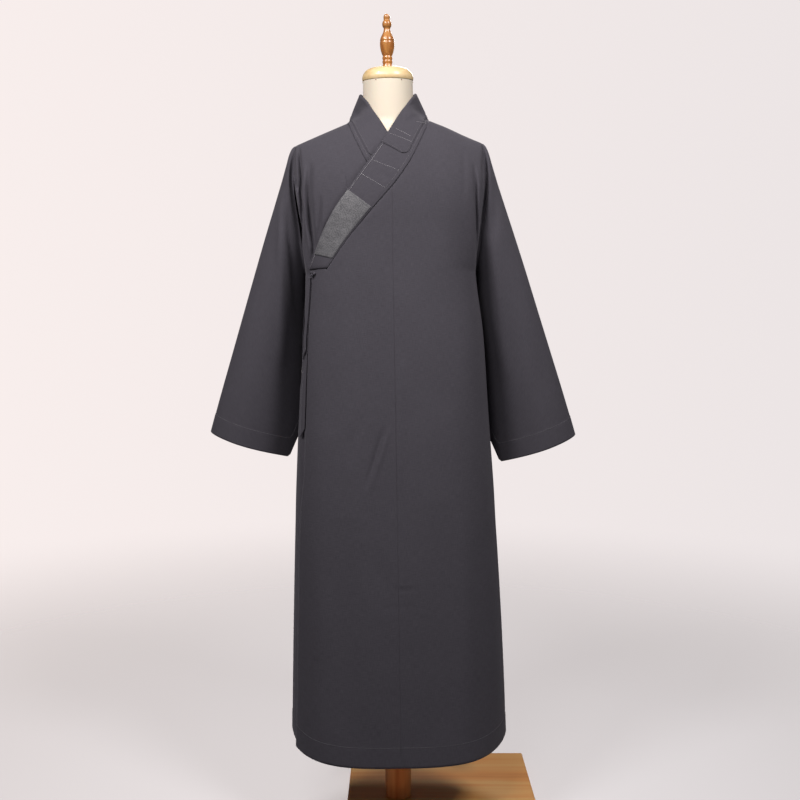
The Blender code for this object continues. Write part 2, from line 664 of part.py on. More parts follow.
def form_body(group, cutters):
    """The padded torso, closed flat at the arms and below, with its neck joined on."""
    turns = [math.pi * (i / (TORSO_COLUMNS - 1) - 0.5) for i in range(TORSO_COLUMNS)]
    shares = [math.copysign(abs(math.sin(t)) ** (2.0 / ROUNDNESS), t) for t in turns]
    levels = [YOKE * (i / TORSO_YOKE_ROWS) ** 1.2 for i in range(TORSO_YOKE_ROWS)]
    below = CHEST_Z - TORSO[0].z
    levels += [YOKE + below * i / TORSO_ROWS for i in range(TORSO_ROWS + 1)]
    points = []
    for v in levels:
        ring = [torso_point(-1, k, v) for k in shares]
        ring += [torso_point(1, k, v) for k in reversed(shares)]
        ring.append(ring[0].copy())
        points.append(ring)

    def outward(centre):
        return Vector((centre.x, centre.y, 0.0))
    edit = shaped_grid(points, outward)
    bmesh.ops.remove_doubles(edit, verts=edit.verts, dist=0.00005)
    bmesh.ops.dissolve_degenerate(edit, edges=edit.edges, dist=0.00005)
    bottom = [edge for edge in edit.edges if edge.is_boundary]
    bmesh.ops.holes_fill(edit, edges=bottom, sides=0)
    bmesh.ops.recalc_face_normals(edit, faces=edit.faces)
    torso = add_piece("form_torso", edit, FORM_CREAM, 0.7, group)

    edit = bmesh.new()
    height = NECK_TOP_Z - NECK_FOOT_Z
    bmesh.ops.create_cone(edit, cap_ends=True, segments=ROUND_STEPS, depth=height,
                          radius1=NECK_FOOT_RADIUS, radius2=NECK_RADIUS)
    for vertex in edit.verts:
        if vertex.co.z > 0:
            vertex.co.z += vertex.co.y * math.tan(HEAD_TILT)
    bmesh.ops.translate(edit, vec=(0.0, 0.0, NECK_FOOT_Z + height / 2), verts=edit.verts)
    neck = add_piece("neck_blank", edit, FORM_CREAM, 0.7, cutters)
    neck.hide_render = True
    neck.display_type = "WIRE"
    join = torso.modifiers.new("neck", "BOOLEAN")
    join.operation = "UNION"
    join.object = neck
    join.solver = "EXACT"
    return neck


def turned_piece(name, profile, colour, group):
    """A turned wooden piece on the form's axis, tipped forward about the top of the neck."""
    mesh = bpy.data.meshes.new(name)
    points = [(p.radius, 0.0, p.z - NECK_TOP_Z) for p in profile]
    mesh.from_pydata(points, [(i, i + 1) for i in range(len(points) - 1)], [])
    piece = bpy.data.objects.new(name, mesh)
    group.objects.link(piece)
    piece.location = (0.0, 0.0, NECK_TOP_Z)
    piece.rotation_euler = (HEAD_TILT, 0.0, 0.0)
    mesh.materials.append(material(name, colour, 0.4))
    turn = piece.modifiers.new("turn", "SCREW")
    turn.axis = "Z"
    turn.steps = ROUND_STEPS
    turn.render_steps = ROUND_STEPS
    turn.use_merge_vertices = True
    turn.merge_threshold = 0.0001
    turn.use_smooth_shade = True
    return piece


def pole(group):
    """The stand's pole, from the base plate to the underside of the torso."""
    foot = PLATE_THICK + SEAM + POLE_RADIUS * math.tan(LEAN)
    height = TORSO[0].z - SEAM - foot
    edit = bmesh.new()
    bmesh.ops.create_cone(edit, cap_ends=True, segments=ROUND_STEPS, depth=height,
                          radius1=POLE_RADIUS, radius2=POLE_RADIUS)
    bmesh.ops.translate(edit, vec=(0.0, 0.0, foot + height / 2), verts=edit.verts)
    add_piece("stand_pole", edit, POLE_WOOD, 0.35, group)


def base_plate(group):
    """The level wooden plate; the pole stands off its centre."""
    centre = (PLATE_CENTRE[0], PLATE_CENTRE[1], PLATE_THICK / 2)
    bpy.ops.mesh.primitive_cube_add(size=1.0, location=centre)
    plate = bpy.context.active_object
    plate.name = "base_plate"
    plate.data.name = "base_plate"
    plate.scale = (PLATE_SIDE, PLATE_SIDE, PLATE_THICK)
    bpy.ops.object.transform_apply(location=False, rotation=False, scale=True)
    for other in list(plate.users_collection):
        other.objects.unlink(plate)
    group.objects.link(plate)
    plate.data.materials.append(material("base_plate", PLATE_WOOD, 0.4))
    edge = plate.modifiers.new("edge", "BEVEL")
    edge.width = PLATE_EDGE
    edge.segments = 2
    return plate


def build():
    for leftover in list(bpy.data.objects):
        bpy.data.objects.remove(leftover, do_unlink=True)
    group = collection("monk_robe_on_dress_form")
    cutters = collection("cutters")

    upper_front(group)
    lower_front(group)
    backs(group)
    sleeves(group)
    collar(group)
    ties(group)
    neck = form_body(group, cutters)
    turned_piece("neck_cap", CAP, CAP_WOOD, group)
    turned_piece("finial", FINIAL, FINIAL_WOOD, group)
    pole(group)

    column = bpy.data.objects.new("leaning_column", None)
    group.objects.link(column)
    column.rotation_euler = (0.0, -LEAN, 0.0)
    for piece in [*group.objects, neck]:
        if piece is not column:
            piece.parent = column
    base_plate(group)


build()
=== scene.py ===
"""A Buddhist monk's long robe with a crossed collar, worn by a limbless dress form.

Metres, +Z up. The robe's front faces -Y and the wearer's left side is +X. The pole, the
form and the robe lean a little towards -X, as one column, about the foot of the pole.
"""
import math
from collections import namedtuple

import bmesh
import bpy
import numpy as np
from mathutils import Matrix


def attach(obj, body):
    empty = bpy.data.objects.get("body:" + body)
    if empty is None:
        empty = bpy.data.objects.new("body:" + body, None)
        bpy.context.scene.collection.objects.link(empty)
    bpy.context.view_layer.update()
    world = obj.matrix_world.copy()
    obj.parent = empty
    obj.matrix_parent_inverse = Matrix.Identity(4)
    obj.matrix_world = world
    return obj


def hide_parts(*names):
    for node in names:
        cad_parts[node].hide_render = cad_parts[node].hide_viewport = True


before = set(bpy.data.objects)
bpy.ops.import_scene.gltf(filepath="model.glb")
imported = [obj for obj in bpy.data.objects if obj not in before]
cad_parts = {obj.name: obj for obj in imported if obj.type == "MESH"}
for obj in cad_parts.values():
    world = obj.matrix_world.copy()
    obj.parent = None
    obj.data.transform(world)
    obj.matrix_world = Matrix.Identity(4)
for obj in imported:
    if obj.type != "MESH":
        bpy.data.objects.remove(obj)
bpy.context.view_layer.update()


# ---------------------------------------------------------------------------------------
# Studio: a plain pale floor in a pale room, the camera at the height of the chest, and
# soft lights above it: a pair to the left and the right, and weaker ones between them and
# behind the robe.
# ---------------------------------------------------------------------------------------
CAMERA_PLACE = (0.003, -2.0, 1.050)
CAMERA_DOWN = math.radians(3.71)
CAMERA_LENS_MM = 40.9
FLOOR_RADIUS = 6.0
FLOOR_FADE = (0.7, 3.4)       # between these distances the floor fades into the room
FLOOR_SHOWS = 0.45            # how much of the floor shows up to there
FLOOR_COLOUR = "#F5F6FC"
ROOM_COLOURS = ("#F8EEEC", "#ECE5E5")   # to the left and to the right
ROOM_BLEND = 0.4              # how far to each side of straight ahead they blend
ROOM_SEEN = 1.0               # how bright the room looks
ROOM_GIVEN = 0.08             # and how much light it gives

LIGHT_SPREAD = math.radians(80)   # a grid keeps each light off the floor
LIGHT_SIZE = 0.8
LIGHT_COLOUR = "#FFFAF7"
SoftLight = namedtuple("SoftLight", "name place aim watts")
SOFT_LIGHTS = (
    SoftLight("left_softbox", (-1.35, -1.5, 2.9), (0.0, 0.0, 1.25), 9.3),
    SoftLight("right_softbox", (1.35, -1.5, 2.9), (0.0, 0.0, 1.25), 9.3),
    SoftLight("front_softbox", (-0.5, -1.9, 2.6), (0.0, 0.0, 1.25), 4.2),
    SoftLight("back_softbox", (0.2, 2.0, 2.6), (0.0, 0.0, 1.1), 4.5),
)


def linear(code):
    """An sRGB hex colour as linear RGBA."""
    channels = [int(code[i:i + 2], 16) / 255 for i in (1, 3, 5)]
    curve = [c / 12.92 if c <= 0.04045 else ((c + 0.055) / 1.055) ** 2.4 for c in channels]
    return (*curve, 1.0)


def add_node(tree, kind, settings, inputs):
    """Adds a node. settings: its properties. inputs: values, or sockets to link."""
    made = tree.nodes.new(kind)
    for key, value in settings.items():
        setattr(made, key, value)
    for key, value in inputs.items():
        if isinstance(value, bpy.types.NodeSocket):
            tree.links.new(value, made.inputs[key])
        else:
            made.inputs[key].default_value = value
    return made


def new_material(name, settings):
    """A material and its shader. settings: values of the shader's own sockets."""
    finish = bpy.data.materials.new(name)
    finish.use_nodes = True
    shader = finish.node_tree.nodes["Principled BSDF"]
    for key, value in settings.items():
        shader.inputs[key].default_value = value
    return finish, finish.node_tree, shader


def add_object(name, data):
    """A new object in the scene, at the origin."""
    made = bpy.data.objects.new(name, data)
    bpy.context.scene.collection.objects.link(made)
    return made


def store(edit, mesh):
    """Writes an open bmesh back into its mesh and closes it."""
    edit.to_mesh(mesh)
    edit.free()


world = bpy.data.worlds.new("pale_room")
world.use_nodes = True
room = world.node_tree.nodes["Background"]
sight = add_node(world.node_tree, "ShaderNodeTexCoord", {}, {}).outputs["Generated"]
aside = add_node(world.node_tree, "ShaderNodeSeparateXYZ", {}, {0: sight}).outputs["X"]
share = add_node(world.node_tree, "ShaderNodeMapRange", {}, {
    "Value": aside, "From Min": -ROOM_BLEND, "From Max": ROOM_BLEND})
shade = add_node(world.node_tree, "ShaderNodeMix", {"data_type": "RGBA"}, {
    0: share.outputs[0], 6: linear(ROOM_COLOURS[0]), 7: linear(ROOM_COLOURS[1])})
world.node_tree.links.new(shade.outputs[2], room.inputs["Color"])
seen = add_node(world.node_tree, "ShaderNodeLightPath", {}, {}).outputs["Is Camera Ray"]
strength = add_node(world.node_tree, "ShaderNodeMapRange", {}, {
    "Value": seen, "To Min": ROOM_GIVEN, "To Max": ROOM_SEEN})
world.node_tree.links.new(strength.outputs[0], room.inputs["Strength"])
bpy.context.scene.world = world
bpy.context.scene.view_settings.view_transform = "Standard"

floor_edit = bmesh.new()
bmesh.ops.create_circle(floor_edit, cap_ends=True, segments=64, radius=FLOOR_RADIUS)
floor_mesh = bpy.data.meshes.new("floor")
store(floor_edit, floor_mesh)
floor = add_object("floor", floor_mesh)
# Matt paint: no shine, and it thins out with distance, so that no horizon shows.
floor_paint, tree, shader = new_material("matt_painted_floor", {
    "Base Color": linear(FLOOR_COLOUR), "Roughness": 0.9, "Specular IOR Level": 0.2})
place = add_node(tree, "ShaderNodeTexCoord", {}, {}).outputs["Object"]
away = add_node(tree, "ShaderNodeVectorMath", {"operation": "LENGTH"}, {0: place})
fade = add_node(tree, "ShaderNodeMapRange", {"interpolation_type": "SMOOTHSTEP"}, {
    "Value": away.outputs["Value"], "From Min": FLOOR_FADE[0], "From Max": FLOOR_FADE[1],
    "To Min": FLOOR_SHOWS, "To Max": 0.0})
tree.links.new(fade.outputs[0], shader.inputs["Alpha"])
floor_mesh.materials.append(floor_paint)

for light in SOFT_LIGHTS:
    lamp = bpy.data.lights.new(light.name, "AREA")
    lamp.shape = "DISK"
    lamp.size = LIGHT_SIZE
    lamp.spread = LIGHT_SPREAD
    lamp.energy = light.watts
    lamp.color = linear(LIGHT_COLOUR)[:3]
    holder = add_object(light.name, lamp)
    holder.location = light.place
    heading = [b - a for a, b in zip(light.place, light.aim)]
    turn = math.atan2(heading[1], heading[0]) - math.pi / 2
    tilt = math.atan2(heading[2], math.hypot(heading[0], heading[1])) + math.pi / 2
    holder.rotation_euler = (tilt, 0.0, turn)

lens = bpy.data.cameras.new("camera")
lens.sensor_width = 36.0
lens.lens = CAMERA_LENS_MM
lens.clip_start = 0.05
camera = add_object("camera", lens)
camera.location = CAMERA_PLACE
camera.rotation_euler = (math.pi / 2 - CAMERA_DOWN, 0.0, 0.0)
bpy.context.scene.camera = camera


# ---------------------------------------------------------------------------------------
# Base plate: a square of solid softwood on the floor, stained a warm brown and varnished,
# its edges eased by hand. The pole stands off its centre. The solid's own shape is kept.
# ---------------------------------------------------------------------------------------
ALONG_GRAIN = 0.045    # figure is drawn out by the inverse of this along the grain
NOISE_PER_MM = 250.0   # a noise scale that gives spots about a millimetre wide


def varnished_wood(name, colours, roughness, coat, grain, ring_mm, streak_mm):
    """Wood under varnish. colours: dark, middle and light. grain: the axis it runs along.
    ring_mm: width of a growth band. streak_mm: width of the fine fibres."""
    finish, tree, shader = new_material(name, {
        "Roughness": roughness, "Coat Weight": coat, "Coat Roughness": 0.18})
    place = add_node(tree, "ShaderNodeTexCoord", {}, {}).outputs["Object"]
    stretch = [1.0, 1.0, 1.0]
    stretch["XYZ".index(grain)] = ALONG_GRAIN
    drawn = add_node(tree, "ShaderNodeMapping", {}, {
        "Vector": place, "Scale": stretch, "Location": (0.37, 0.21, 0.13)}).outputs[0]
    rings = add_node(tree, "ShaderNodeTexNoise", {}, {
        "Vector": drawn, "Scale": NOISE_PER_MM / ring_mm, "Detail": 3.0, "Distortion": 1.2})
    fibres = add_node(tree, "ShaderNodeTexNoise", {}, {
        "Vector": drawn, "Scale": NOISE_PER_MM / streak_mm, "Detail": 2.0})
    clouds = add_node(tree, "ShaderNodeTexNoise", {}, {"Vector": place, "Scale": 7.0})
    mixed = add_node(tree, "ShaderNodeMath", {"operation": "MULTIPLY_ADD"}, {
        0: fibres.outputs["Fac"], 1: 0.35, 2: rings.outputs["Fac"]}).outputs[0]
    toned = add_node(tree, "ShaderNodeMath", {"operation": "MULTIPLY_ADD"}, {
        0: clouds.outputs["Fac"], 1: 0.3, 2: mixed}).outputs[0]
    ramp = add_node(tree, "ShaderNodeValToRGB", {}, {"Fac": toned})
    stops = ramp.color_ramp.elements
    dark, light = stops
    dark.position = 0.55
    dark.color = linear(colours[0])
    light.position = 1.0
    light.color = linear(colours[2])
    stops.new(0.80).color = linear(colours[1])
    tree.links.new(ramp.outputs["Color"], shader.inputs["Base Color"])
    relief = add_node(tree, "ShaderNodeBump", {}, {
        "Strength": 0.25, "Distance": 0.0006, "Height": mixed})
    tree.links.new(relief.outputs["Normal"], shader.inputs["Normal"])
    return finish


# Stained pine, planed and varnished: long low-contrast streaks under a soft shine.
plate_wood = varnished_wood("varnished_stained_pine", ("#DC863E", "#F3A659", "#F9BE74"),
                            0.42, 0.25, "X", 26.0, 3.0)
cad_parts["base_plate"].material_slots[0].material = plate_wood


# ---------------------------------------------------------------------------------------
# Pole: a turned and stained hardwood post screwed into the plate from below. It carries
# the form and, like all that follows, leans with it.
# ---------------------------------------------------------------------------------------
LEAN = math.radians(0.83)
PLATE_TOP = 0.025
POLE_RADIUS = 0.0295
POLE_TOP = 0.7397
POLE_FOOT = PLATE_TOP + 0.0008
POLE_BEVEL = (0.0015, 0.0020)     # its width and height, at the foot
TURNED_SEGMENTS = 96
WELD = 0.00005                    # points closer than this are one
SMOOTH_UP_TO = math.radians(40)   # edges that turn by more stay sharp
COS_LEAN = math.cos(LEAN)
SIN_LEAN = math.sin(LEAN)


def leaned(points):
    """Points of the upright column, (..., 3), turned to lean towards -X."""
    points = np.asarray(points, float)
    x = points[..., 0] * COS_LEAN - points[..., 2] * SIN_LEAN
    z = points[..., 2] * COS_LEAN + points[..., 0] * SIN_LEAN
    return np.stack([x, points[..., 1], z], axis=-1)


def finish_piece(piece, node_names):
    """A new piece rides on the frame and stands for its solids, which it hides."""
    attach(piece, "root")
    if node_names:
        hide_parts(*node_names)
    return piece


def plain_mesh(piece):
    """Applies what modifiers the piece has, so that it is a plain mesh."""
    graph = bpy.context.evaluated_depsgraph_get()
    mesh = bpy.data.meshes.new_from_object(piece.evaluated_get(graph))
    mesh.name = piece.name
    old = piece.data
    piece.modifiers.clear()
    piece.data = mesh
    bpy.data.meshes.remove(old)
    return piece


def turned(name, profile, finish, tilt=0.0, pivot_z=0.0):
    """A turned piece on the column's axis, tipped about X at pivot_z, then leaned.
    profile: radius and height of each point of half its section."""
    mesh = bpy.data.meshes.new(name)
    mesh.from_pydata([(radius, 0.0, z) for radius, z in profile],
                     [(i, i + 1) for i in range(len(profile) - 1)], [])
    mesh.materials.append(finish)
    piece = add_object(name, mesh)
    turn = piece.modifiers.new("turn", "SCREW")
    turn.steps = TURNED_SEGMENTS
    turn.render_steps = TURNED_SEGMENTS
    turn.use_merge_vertices = True
    turn.merge_threshold = 2 * WELD
    mesh = plain_mesh(piece).data
    place = np.array([vertex.co[:] for vertex in mesh.vertices])
    rise = place[:, 2] - pivot_z
    y = place[:, 1] * math.cos(tilt) - rise * math.sin(tilt)
    z = place[:, 1] * math.sin(tilt) + rise * math.cos(tilt) + pivot_z
    place = leaned(np.column_stack([place[:, 0], y, z]))
    mesh.vertices.foreach_set("co", place.ravel())
    edit = bmesh.new()
    edit.from_mesh(mesh)
    bmesh.ops.recalc_face_normals(edit, faces=edit.faces)
    store(edit, mesh)
    mesh.shade_smooth()
    mesh.set_sharp_from_angle(angle=SMOOTH_UP_TO)
    return piece


# Stained beech: short dark flecks, close grain, a redder and deeper stain than the plate's.
pole_wood = varnished_wood("varnished_stained_beech", ("#E08850", "#FCB678", "#FFCE94"),
                           0.36, 0.4, "Z", 14.0, 2.0)
pole_profile = ((0.0, POLE_FOOT), (POLE_RADIUS - POLE_BEVEL[0], POLE_FOOT),
                (POLE_RADIUS, POLE_FOOT + POLE_BEVEL[1]), (POLE_RADIUS, POLE_TOP),
                (0.0, POLE_TOP))
pole = turned("pole", pole_profile, pole_wood)
finish_piece(pole, ["stand_pole"])


# ---------------------------------------------------------------------------------------
# Dress form: a padded shell without arms or head, covered in one skin of stretched cream
# jersey drawn up over the neck and tacked under the wooden cap.
# ---------------------------------------------------------------------------------------
CHEST_Z = 1.290
YOKE = 0.25            # length of cloth from the shoulder fold to the chest line
SHOULDER_X = 0.200
SHOULDER_Z = 1.4744
NECK_X = 0.086
NECK_Z = 1.5198
ARMPIT_Z = 1.200
ARMHOLE_DEPTH = 0.042
ROUNDNESS = 2.8        # exponent of the oval sections
EDGE_REACH = 4.0       # how sharply the armhole's depth fades towards the middle
CLOTH = 0.0018
LAP_SIDE_IN = 0.003    # the side under the lap hangs this much nearer the middle
LAP_SIDE_RUN = 0.2     # from this far below the armpit
LAP_HEM_IN = 0.005     # and this much more at its hem
FORM_INSET = 0.012     # the form's side lies this much less deep than the armhole
SKIN_DROP = 0.0024     # the skin lies this far below the robe's shoulder fold
NECK_EASE = 0.006      # and this much more beside the neck
NECK_EASE_RUN = 0.03   # over this width
NECK_RADIUS = 0.0535
NECK_FOOT_RADIUS = 0.056
NECK_FOOT_Z = 1.440
NECK_TOP_Z = 1.6085
HEAD_TILT = math.radians(8.0)
FORM_SMOOTH_UP_TO = math.radians(45)

# Levels of the robe's body: height, half width, depth to the front and to the back.
BODY = np.array((
    (0.182, 0.2415, 0.200, 0.186),
    (0.289, 0.2385, 0.194, 0.180),
    (0.472, 0.2315, 0.184, 0.171),
    (0.695, 0.2210, 0.170, 0.158),
    (0.905, 0.2080, 0.156, 0.144),
    (1.065, 0.1985, 0.145, 0.133),
    (1.200, 0.1840, 0.135, 0.122),
    (1.290, 0.1920, 0.130, 0.116),
    (1.380, 0.2030, 0.130, 0.116),
    (1.475, 0.2000, 0.130, 0.116),
))
# The same for the form inside it, down from the chest.
TORSO = np.array((
    (0.740, 0.150, 0.102, 0.106),
    (0.860, 0.162, 0.112, 0.116),
    (1.000, 0.150, 0.104, 0.100),
    (1.120, 0.154, 0.110, 0.100),
    (1.200, 0.166, 0.116, 0.104),
    (1.290, 0.178, 0.118, 0.104),
))
WIDTH, FRONT, BACK = 1, 2, 3   # columns of both tables


def eased(share):
    """Rises softly from 0 to 1 as share does."""
    share = np.clip(share, 0.0, 1.0)
    return share * share * (3.0 - 2.0 * share)


def level(table, column, z):
    """A smooth curve through one column of a table, read at z, its first column."""
    heights = table[:, 0]
    values = table[:, column]
    last = len(heights) - 1
    z = np.clip(z, heights[0], heights[-1])
    i = np.clip(np.searchsorted(heights, z, side="right") - 1, 0, last - 1)
    step = heights[i + 1] - heights[i]
    slope = (values[i + 1] - values[i]) / step
    before = np.maximum(i - 1, 0)
    after = np.minimum(i + 2, last)
    start = (values[i + 1] - values[before]) / (heights[i + 1] - heights[before])
    end = (values[after] - values[i]) / (heights[after] - heights[i])
    share = (z - heights[i]) / step
    value = values[i] + slope * step * share
    value = value + share * (1 - share) ** 2 * step * (start - slope)
    return value - share * share * (1 - share) * step * (end - slope)


def shoulder_line(x):
    """Height of the shoulder fold at x."""
    slope = (NECK_Z - SHOULDER_Z) / (SHOULDER_X - NECK_X)
    return SHOULDER_Z + slope * (SHOULDER_X - np.abs(x))


def half_width(z, side=1.0):
    """Half width of the robe's body; the side under the lap, where x < 0, hangs closer."""
    closer = LAP_SIDE_IN * eased((ARMPIT_Z - z) / LAP_SIDE_RUN)
    closer = closer + LAP_HEM_IN * eased(ARMPIT_Z - z)
    return level(BODY, WIDTH, z) - np.where(np.asarray(side) < 0, closer, 0.0)


def fullness(k):
    """How far a section has swelled at the share k of its half width."""
    return (1.0 - np.minimum(1.0, np.abs(k)) ** ROUNDNESS) ** (1.0 / ROUNDNESS)


def section_depth(k, deepest, edge):
    """Depth of a section at the share k: oval, but edge deep at its very side."""
    swell = fullness(k)
    return deepest * swell + edge * (1.0 - swell) * np.abs(k) ** EDGE_REACH


def armhole_depth(z):
    """Half depth of the armhole below the chest line; it closes at the armpit."""
    drop = np.clip((CHEST_Z - z) / (CHEST_Z - ARMPIT_Z), 0.0, 1.0)
    return ARMHOLE_DEPTH * np.sqrt(1.0 - drop * drop)


def torso_point(face, k, v):
    """Points of the form's skin. face: -1 front, +1 back. k: share of the half width.
    v: metres down from the crest of the shoulder."""
    side = FRONT if face < 0 else BACK
    slope = math.atan((NECK_Z - SHOULDER_Z) / (SHOULDER_X - NECK_X))
    to_neck = NECK_X + NECK_EASE_RUN - np.abs(k) * SHOULDER_X
    drop = SKIN_DROP / math.cos(slope) + NECK_EASE * eased(to_neck / NECK_EASE_RUN)
    side_depth = ARMHOLE_DEPTH - FORM_INSET
    roll = np.minimum(v, YOKE) / YOKE * math.pi / 2
    edge_z = CHEST_Z + (SHOULDER_Z - CHEST_Z) * np.cos(roll)
    inset = half_width(CHEST_Z) - level(TORSO, WIDTH, CHEST_Z)
    upper_x = k * (half_width(edge_z) - inset)
    upper_z = CHEST_Z + (shoulder_line(upper_x) - drop - CHEST_Z) * np.cos(roll)
    upper_y = section_depth(k, level(TORSO, side, CHEST_Z), side_depth) * np.sin(roll)
    lower_z = CHEST_Z + YOKE - v
    lower_x = k * level(TORSO, WIDTH, lower_z)
    edge = side_depth * armhole_depth(lower_z) / ARMHOLE_DEPTH
    lower_y = section_depth(k, level(TORSO, side, lower_z), edge)
    upper = v < YOKE
    x = np.where(upper, upper_x, lower_x)
    y = np.where(upper, upper_y, lower_y)
    z = np.where(upper, upper_z, lower_z)
    return np.stack([x, face * y, z], axis=-1)


def grid_mesh(name, points, outward):
    """A mesh of four-sided faces on a grid of points (rows, columns, 3), faces turned
    outward, with a UV map in metres of cloth: across, then down."""
    rows, columns = points.shape[:2]
    outward = np.broadcast_to(outward, points.shape)
    index = np.arange(rows * columns).reshape(rows, columns)
    corners = np.stack([index[:-1, :-1], index[:-1, 1:], index[1:, 1:], index[1:, :-1]], axis=-1)
    across = points[:-1, 1:] - points[:-1, :-1]
    down = points[1:, :-1] - points[:-1, :-1]
    facing = np.cross(across, down)
    if np.sum(facing * outward[:-1, :-1]) < 0:
        corners = corners[..., ::-1]
    mesh = bpy.data.meshes.new(name)
    flat = leaned(points).reshape(-1, 3)
    mesh.from_pydata(flat.tolist(), [], corners.reshape(-1, 4).tolist())
    middle = rows // 2
    step_across = np.linalg.norm(np.diff(points, axis=1), axis=2).mean(axis=0)
    u = np.concatenate([[0.0], np.cumsum(step_across)])
    step_down = np.linalg.norm(np.diff(points, axis=0), axis=2)
    v = np.concatenate([np.zeros((1, columns)), np.cumsum(step_down, axis=0)])
    v = v - v[middle]
    table = np.stack([np.broadcast_to(u, (rows, columns)), v], axis=-1).reshape(-1, 2)
    layer = mesh.uv_layers.new(name="cloth")
    loops = np.empty(len(mesh.loops), dtype=np.int32)
    mesh.loops.foreach_get("vertex_index", loops)
    layer.data.foreach_set("uv", table[loops].ravel())
    mesh.shade_smooth()
    return mesh


def new_object(name, mesh, finish):
    """A piece made of a mesh, in one finish."""
    mesh.materials.append(finish)
    return add_object(name, mesh)


# Cotton jersey stretched over padding: matt, cream, the knit only just seen.
jersey, tree, shader = new_material("stretched_cotton_jersey", {
    "Roughness": 0.82, "Sheen Weight": 0.15, "Sheen Roughness": 0.5,
    "Subsurface Weight": 0.04, "Subsurface Scale": 0.003})
place = add_node(tree, "ShaderNodeTexCoord", {}, {}).outputs["Object"]
cloudy = add_node(tree, "ShaderNodeTexNoise", {}, {"Vector": place, "Scale": 9.0})
tone = add_node(tree, "ShaderNodeMix", {"data_type": "RGBA"}, {
    0: cloudy.outputs["Fac"], 6: linear("#DACFBD"), 7: linear("#E0D7C6")})
tree.links.new(tone.outputs[2], shader.inputs["Base Color"])
# knit columns 1.4 mm apart, drawn about twice the real size so that they can show
knit = add_node(tree, "ShaderNodeTexNoise", {}, {"Vector": place, "Scale": 700.0})
relief = add_node(tree, "ShaderNodeBump", {}, {
    "Strength": 0.15, "Distance": 0.0003, "Height": knit.outputs["Fac"]})
tree.links.new(relief.outputs["Normal"], shader.inputs["Normal"])

TORSO_COLUMNS = 49     # from one side to the other, in front and behind
SHOULDER_ROWS = 24
CHEST_ROWS = 56
ROWS_GATHER = 1.2      # above 1, rows of points lie closer towards the shoulder

turns = np.linspace(-math.pi / 2, math.pi / 2, TORSO_COLUMNS)
shares = np.sign(turns) * np.abs(np.sin(turns)) ** (2.0 / ROUNDNESS)
shoulder_shares = np.linspace(0.0, 1.0, SHOULDER_ROWS + 1)[:-1]
levels = np.concatenate([YOKE * shoulder_shares ** ROWS_GATHER,
                         YOKE + np.linspace(0.0, CHEST_Z - TORSO[0, 0], CHEST_ROWS)])
front_skin = torso_point(-1, shares[None, :], levels[:, None])
back_skin = torso_point(1, shares[None, ::-1], levels[:, None])
skin = np.concatenate([front_skin, back_skin[:, 1:]], axis=1)
torso_mesh = grid_mesh("form", skin, skin * (1.0, 1.0, 0.0))
edit = bmesh.new()
edit.from_mesh(torso_mesh)
bmesh.ops.remove_doubles(edit, verts=edit.verts, dist=WELD)
bmesh.ops.dissolve_degenerate(edit, edges=edit.edges, dist=WELD)
rim = [edge for edge in edit.edges if edge.is_boundary]
bmesh.ops.holes_fill(edit, edges=rim, sides=0)
bmesh.ops.recalc_face_normals(edit, faces=edit.faces)
store(edit, torso_mesh)
form = new_object("form", torso_mesh, jersey)

# The neck: a padded stump, its top cut on the slant so that the cap tips forward.
neck_profile = [(0.0, NECK_FOOT_Z), (NECK_FOOT_RADIUS, NECK_FOOT_Z)]
neck_height = NECK_TOP_Z - NECK_FOOT_Z
for share in np.linspace(0.1, 1.0, 10):
    radius = NECK_FOOT_RADIUS + (NECK_RADIUS - NECK_FOOT_RADIUS) * share
    neck_profile.append((radius, NECK_FOOT_Z + neck_height * share))
neck_profile.append((0.0, NECK_TOP_Z))
neck = turned("form_neck", neck_profile, jersey)
place = np.array([vertex.co[:] for vertex in neck.data.vertices])
top = place[:, 2] > NECK_TOP_Z - 0.01
place[top, 2] += place[top, 1] * math.tan(HEAD_TILT)
neck.data.vertices.foreach_set("co", place.ravel())
union = form.modifiers.new("neck", "BOOLEAN")
union.operation = "UNION"
union.object = neck
union.solver = "EXACT"
plain_mesh(form)
bpy.data.objects.remove(neck, do_unlink=True)
form.data.shade_smooth()
form.data.set_sharp_from_angle(angle=FORM_SMOOTH_UP_TO)
finish_piece(form, ["form_torso"])


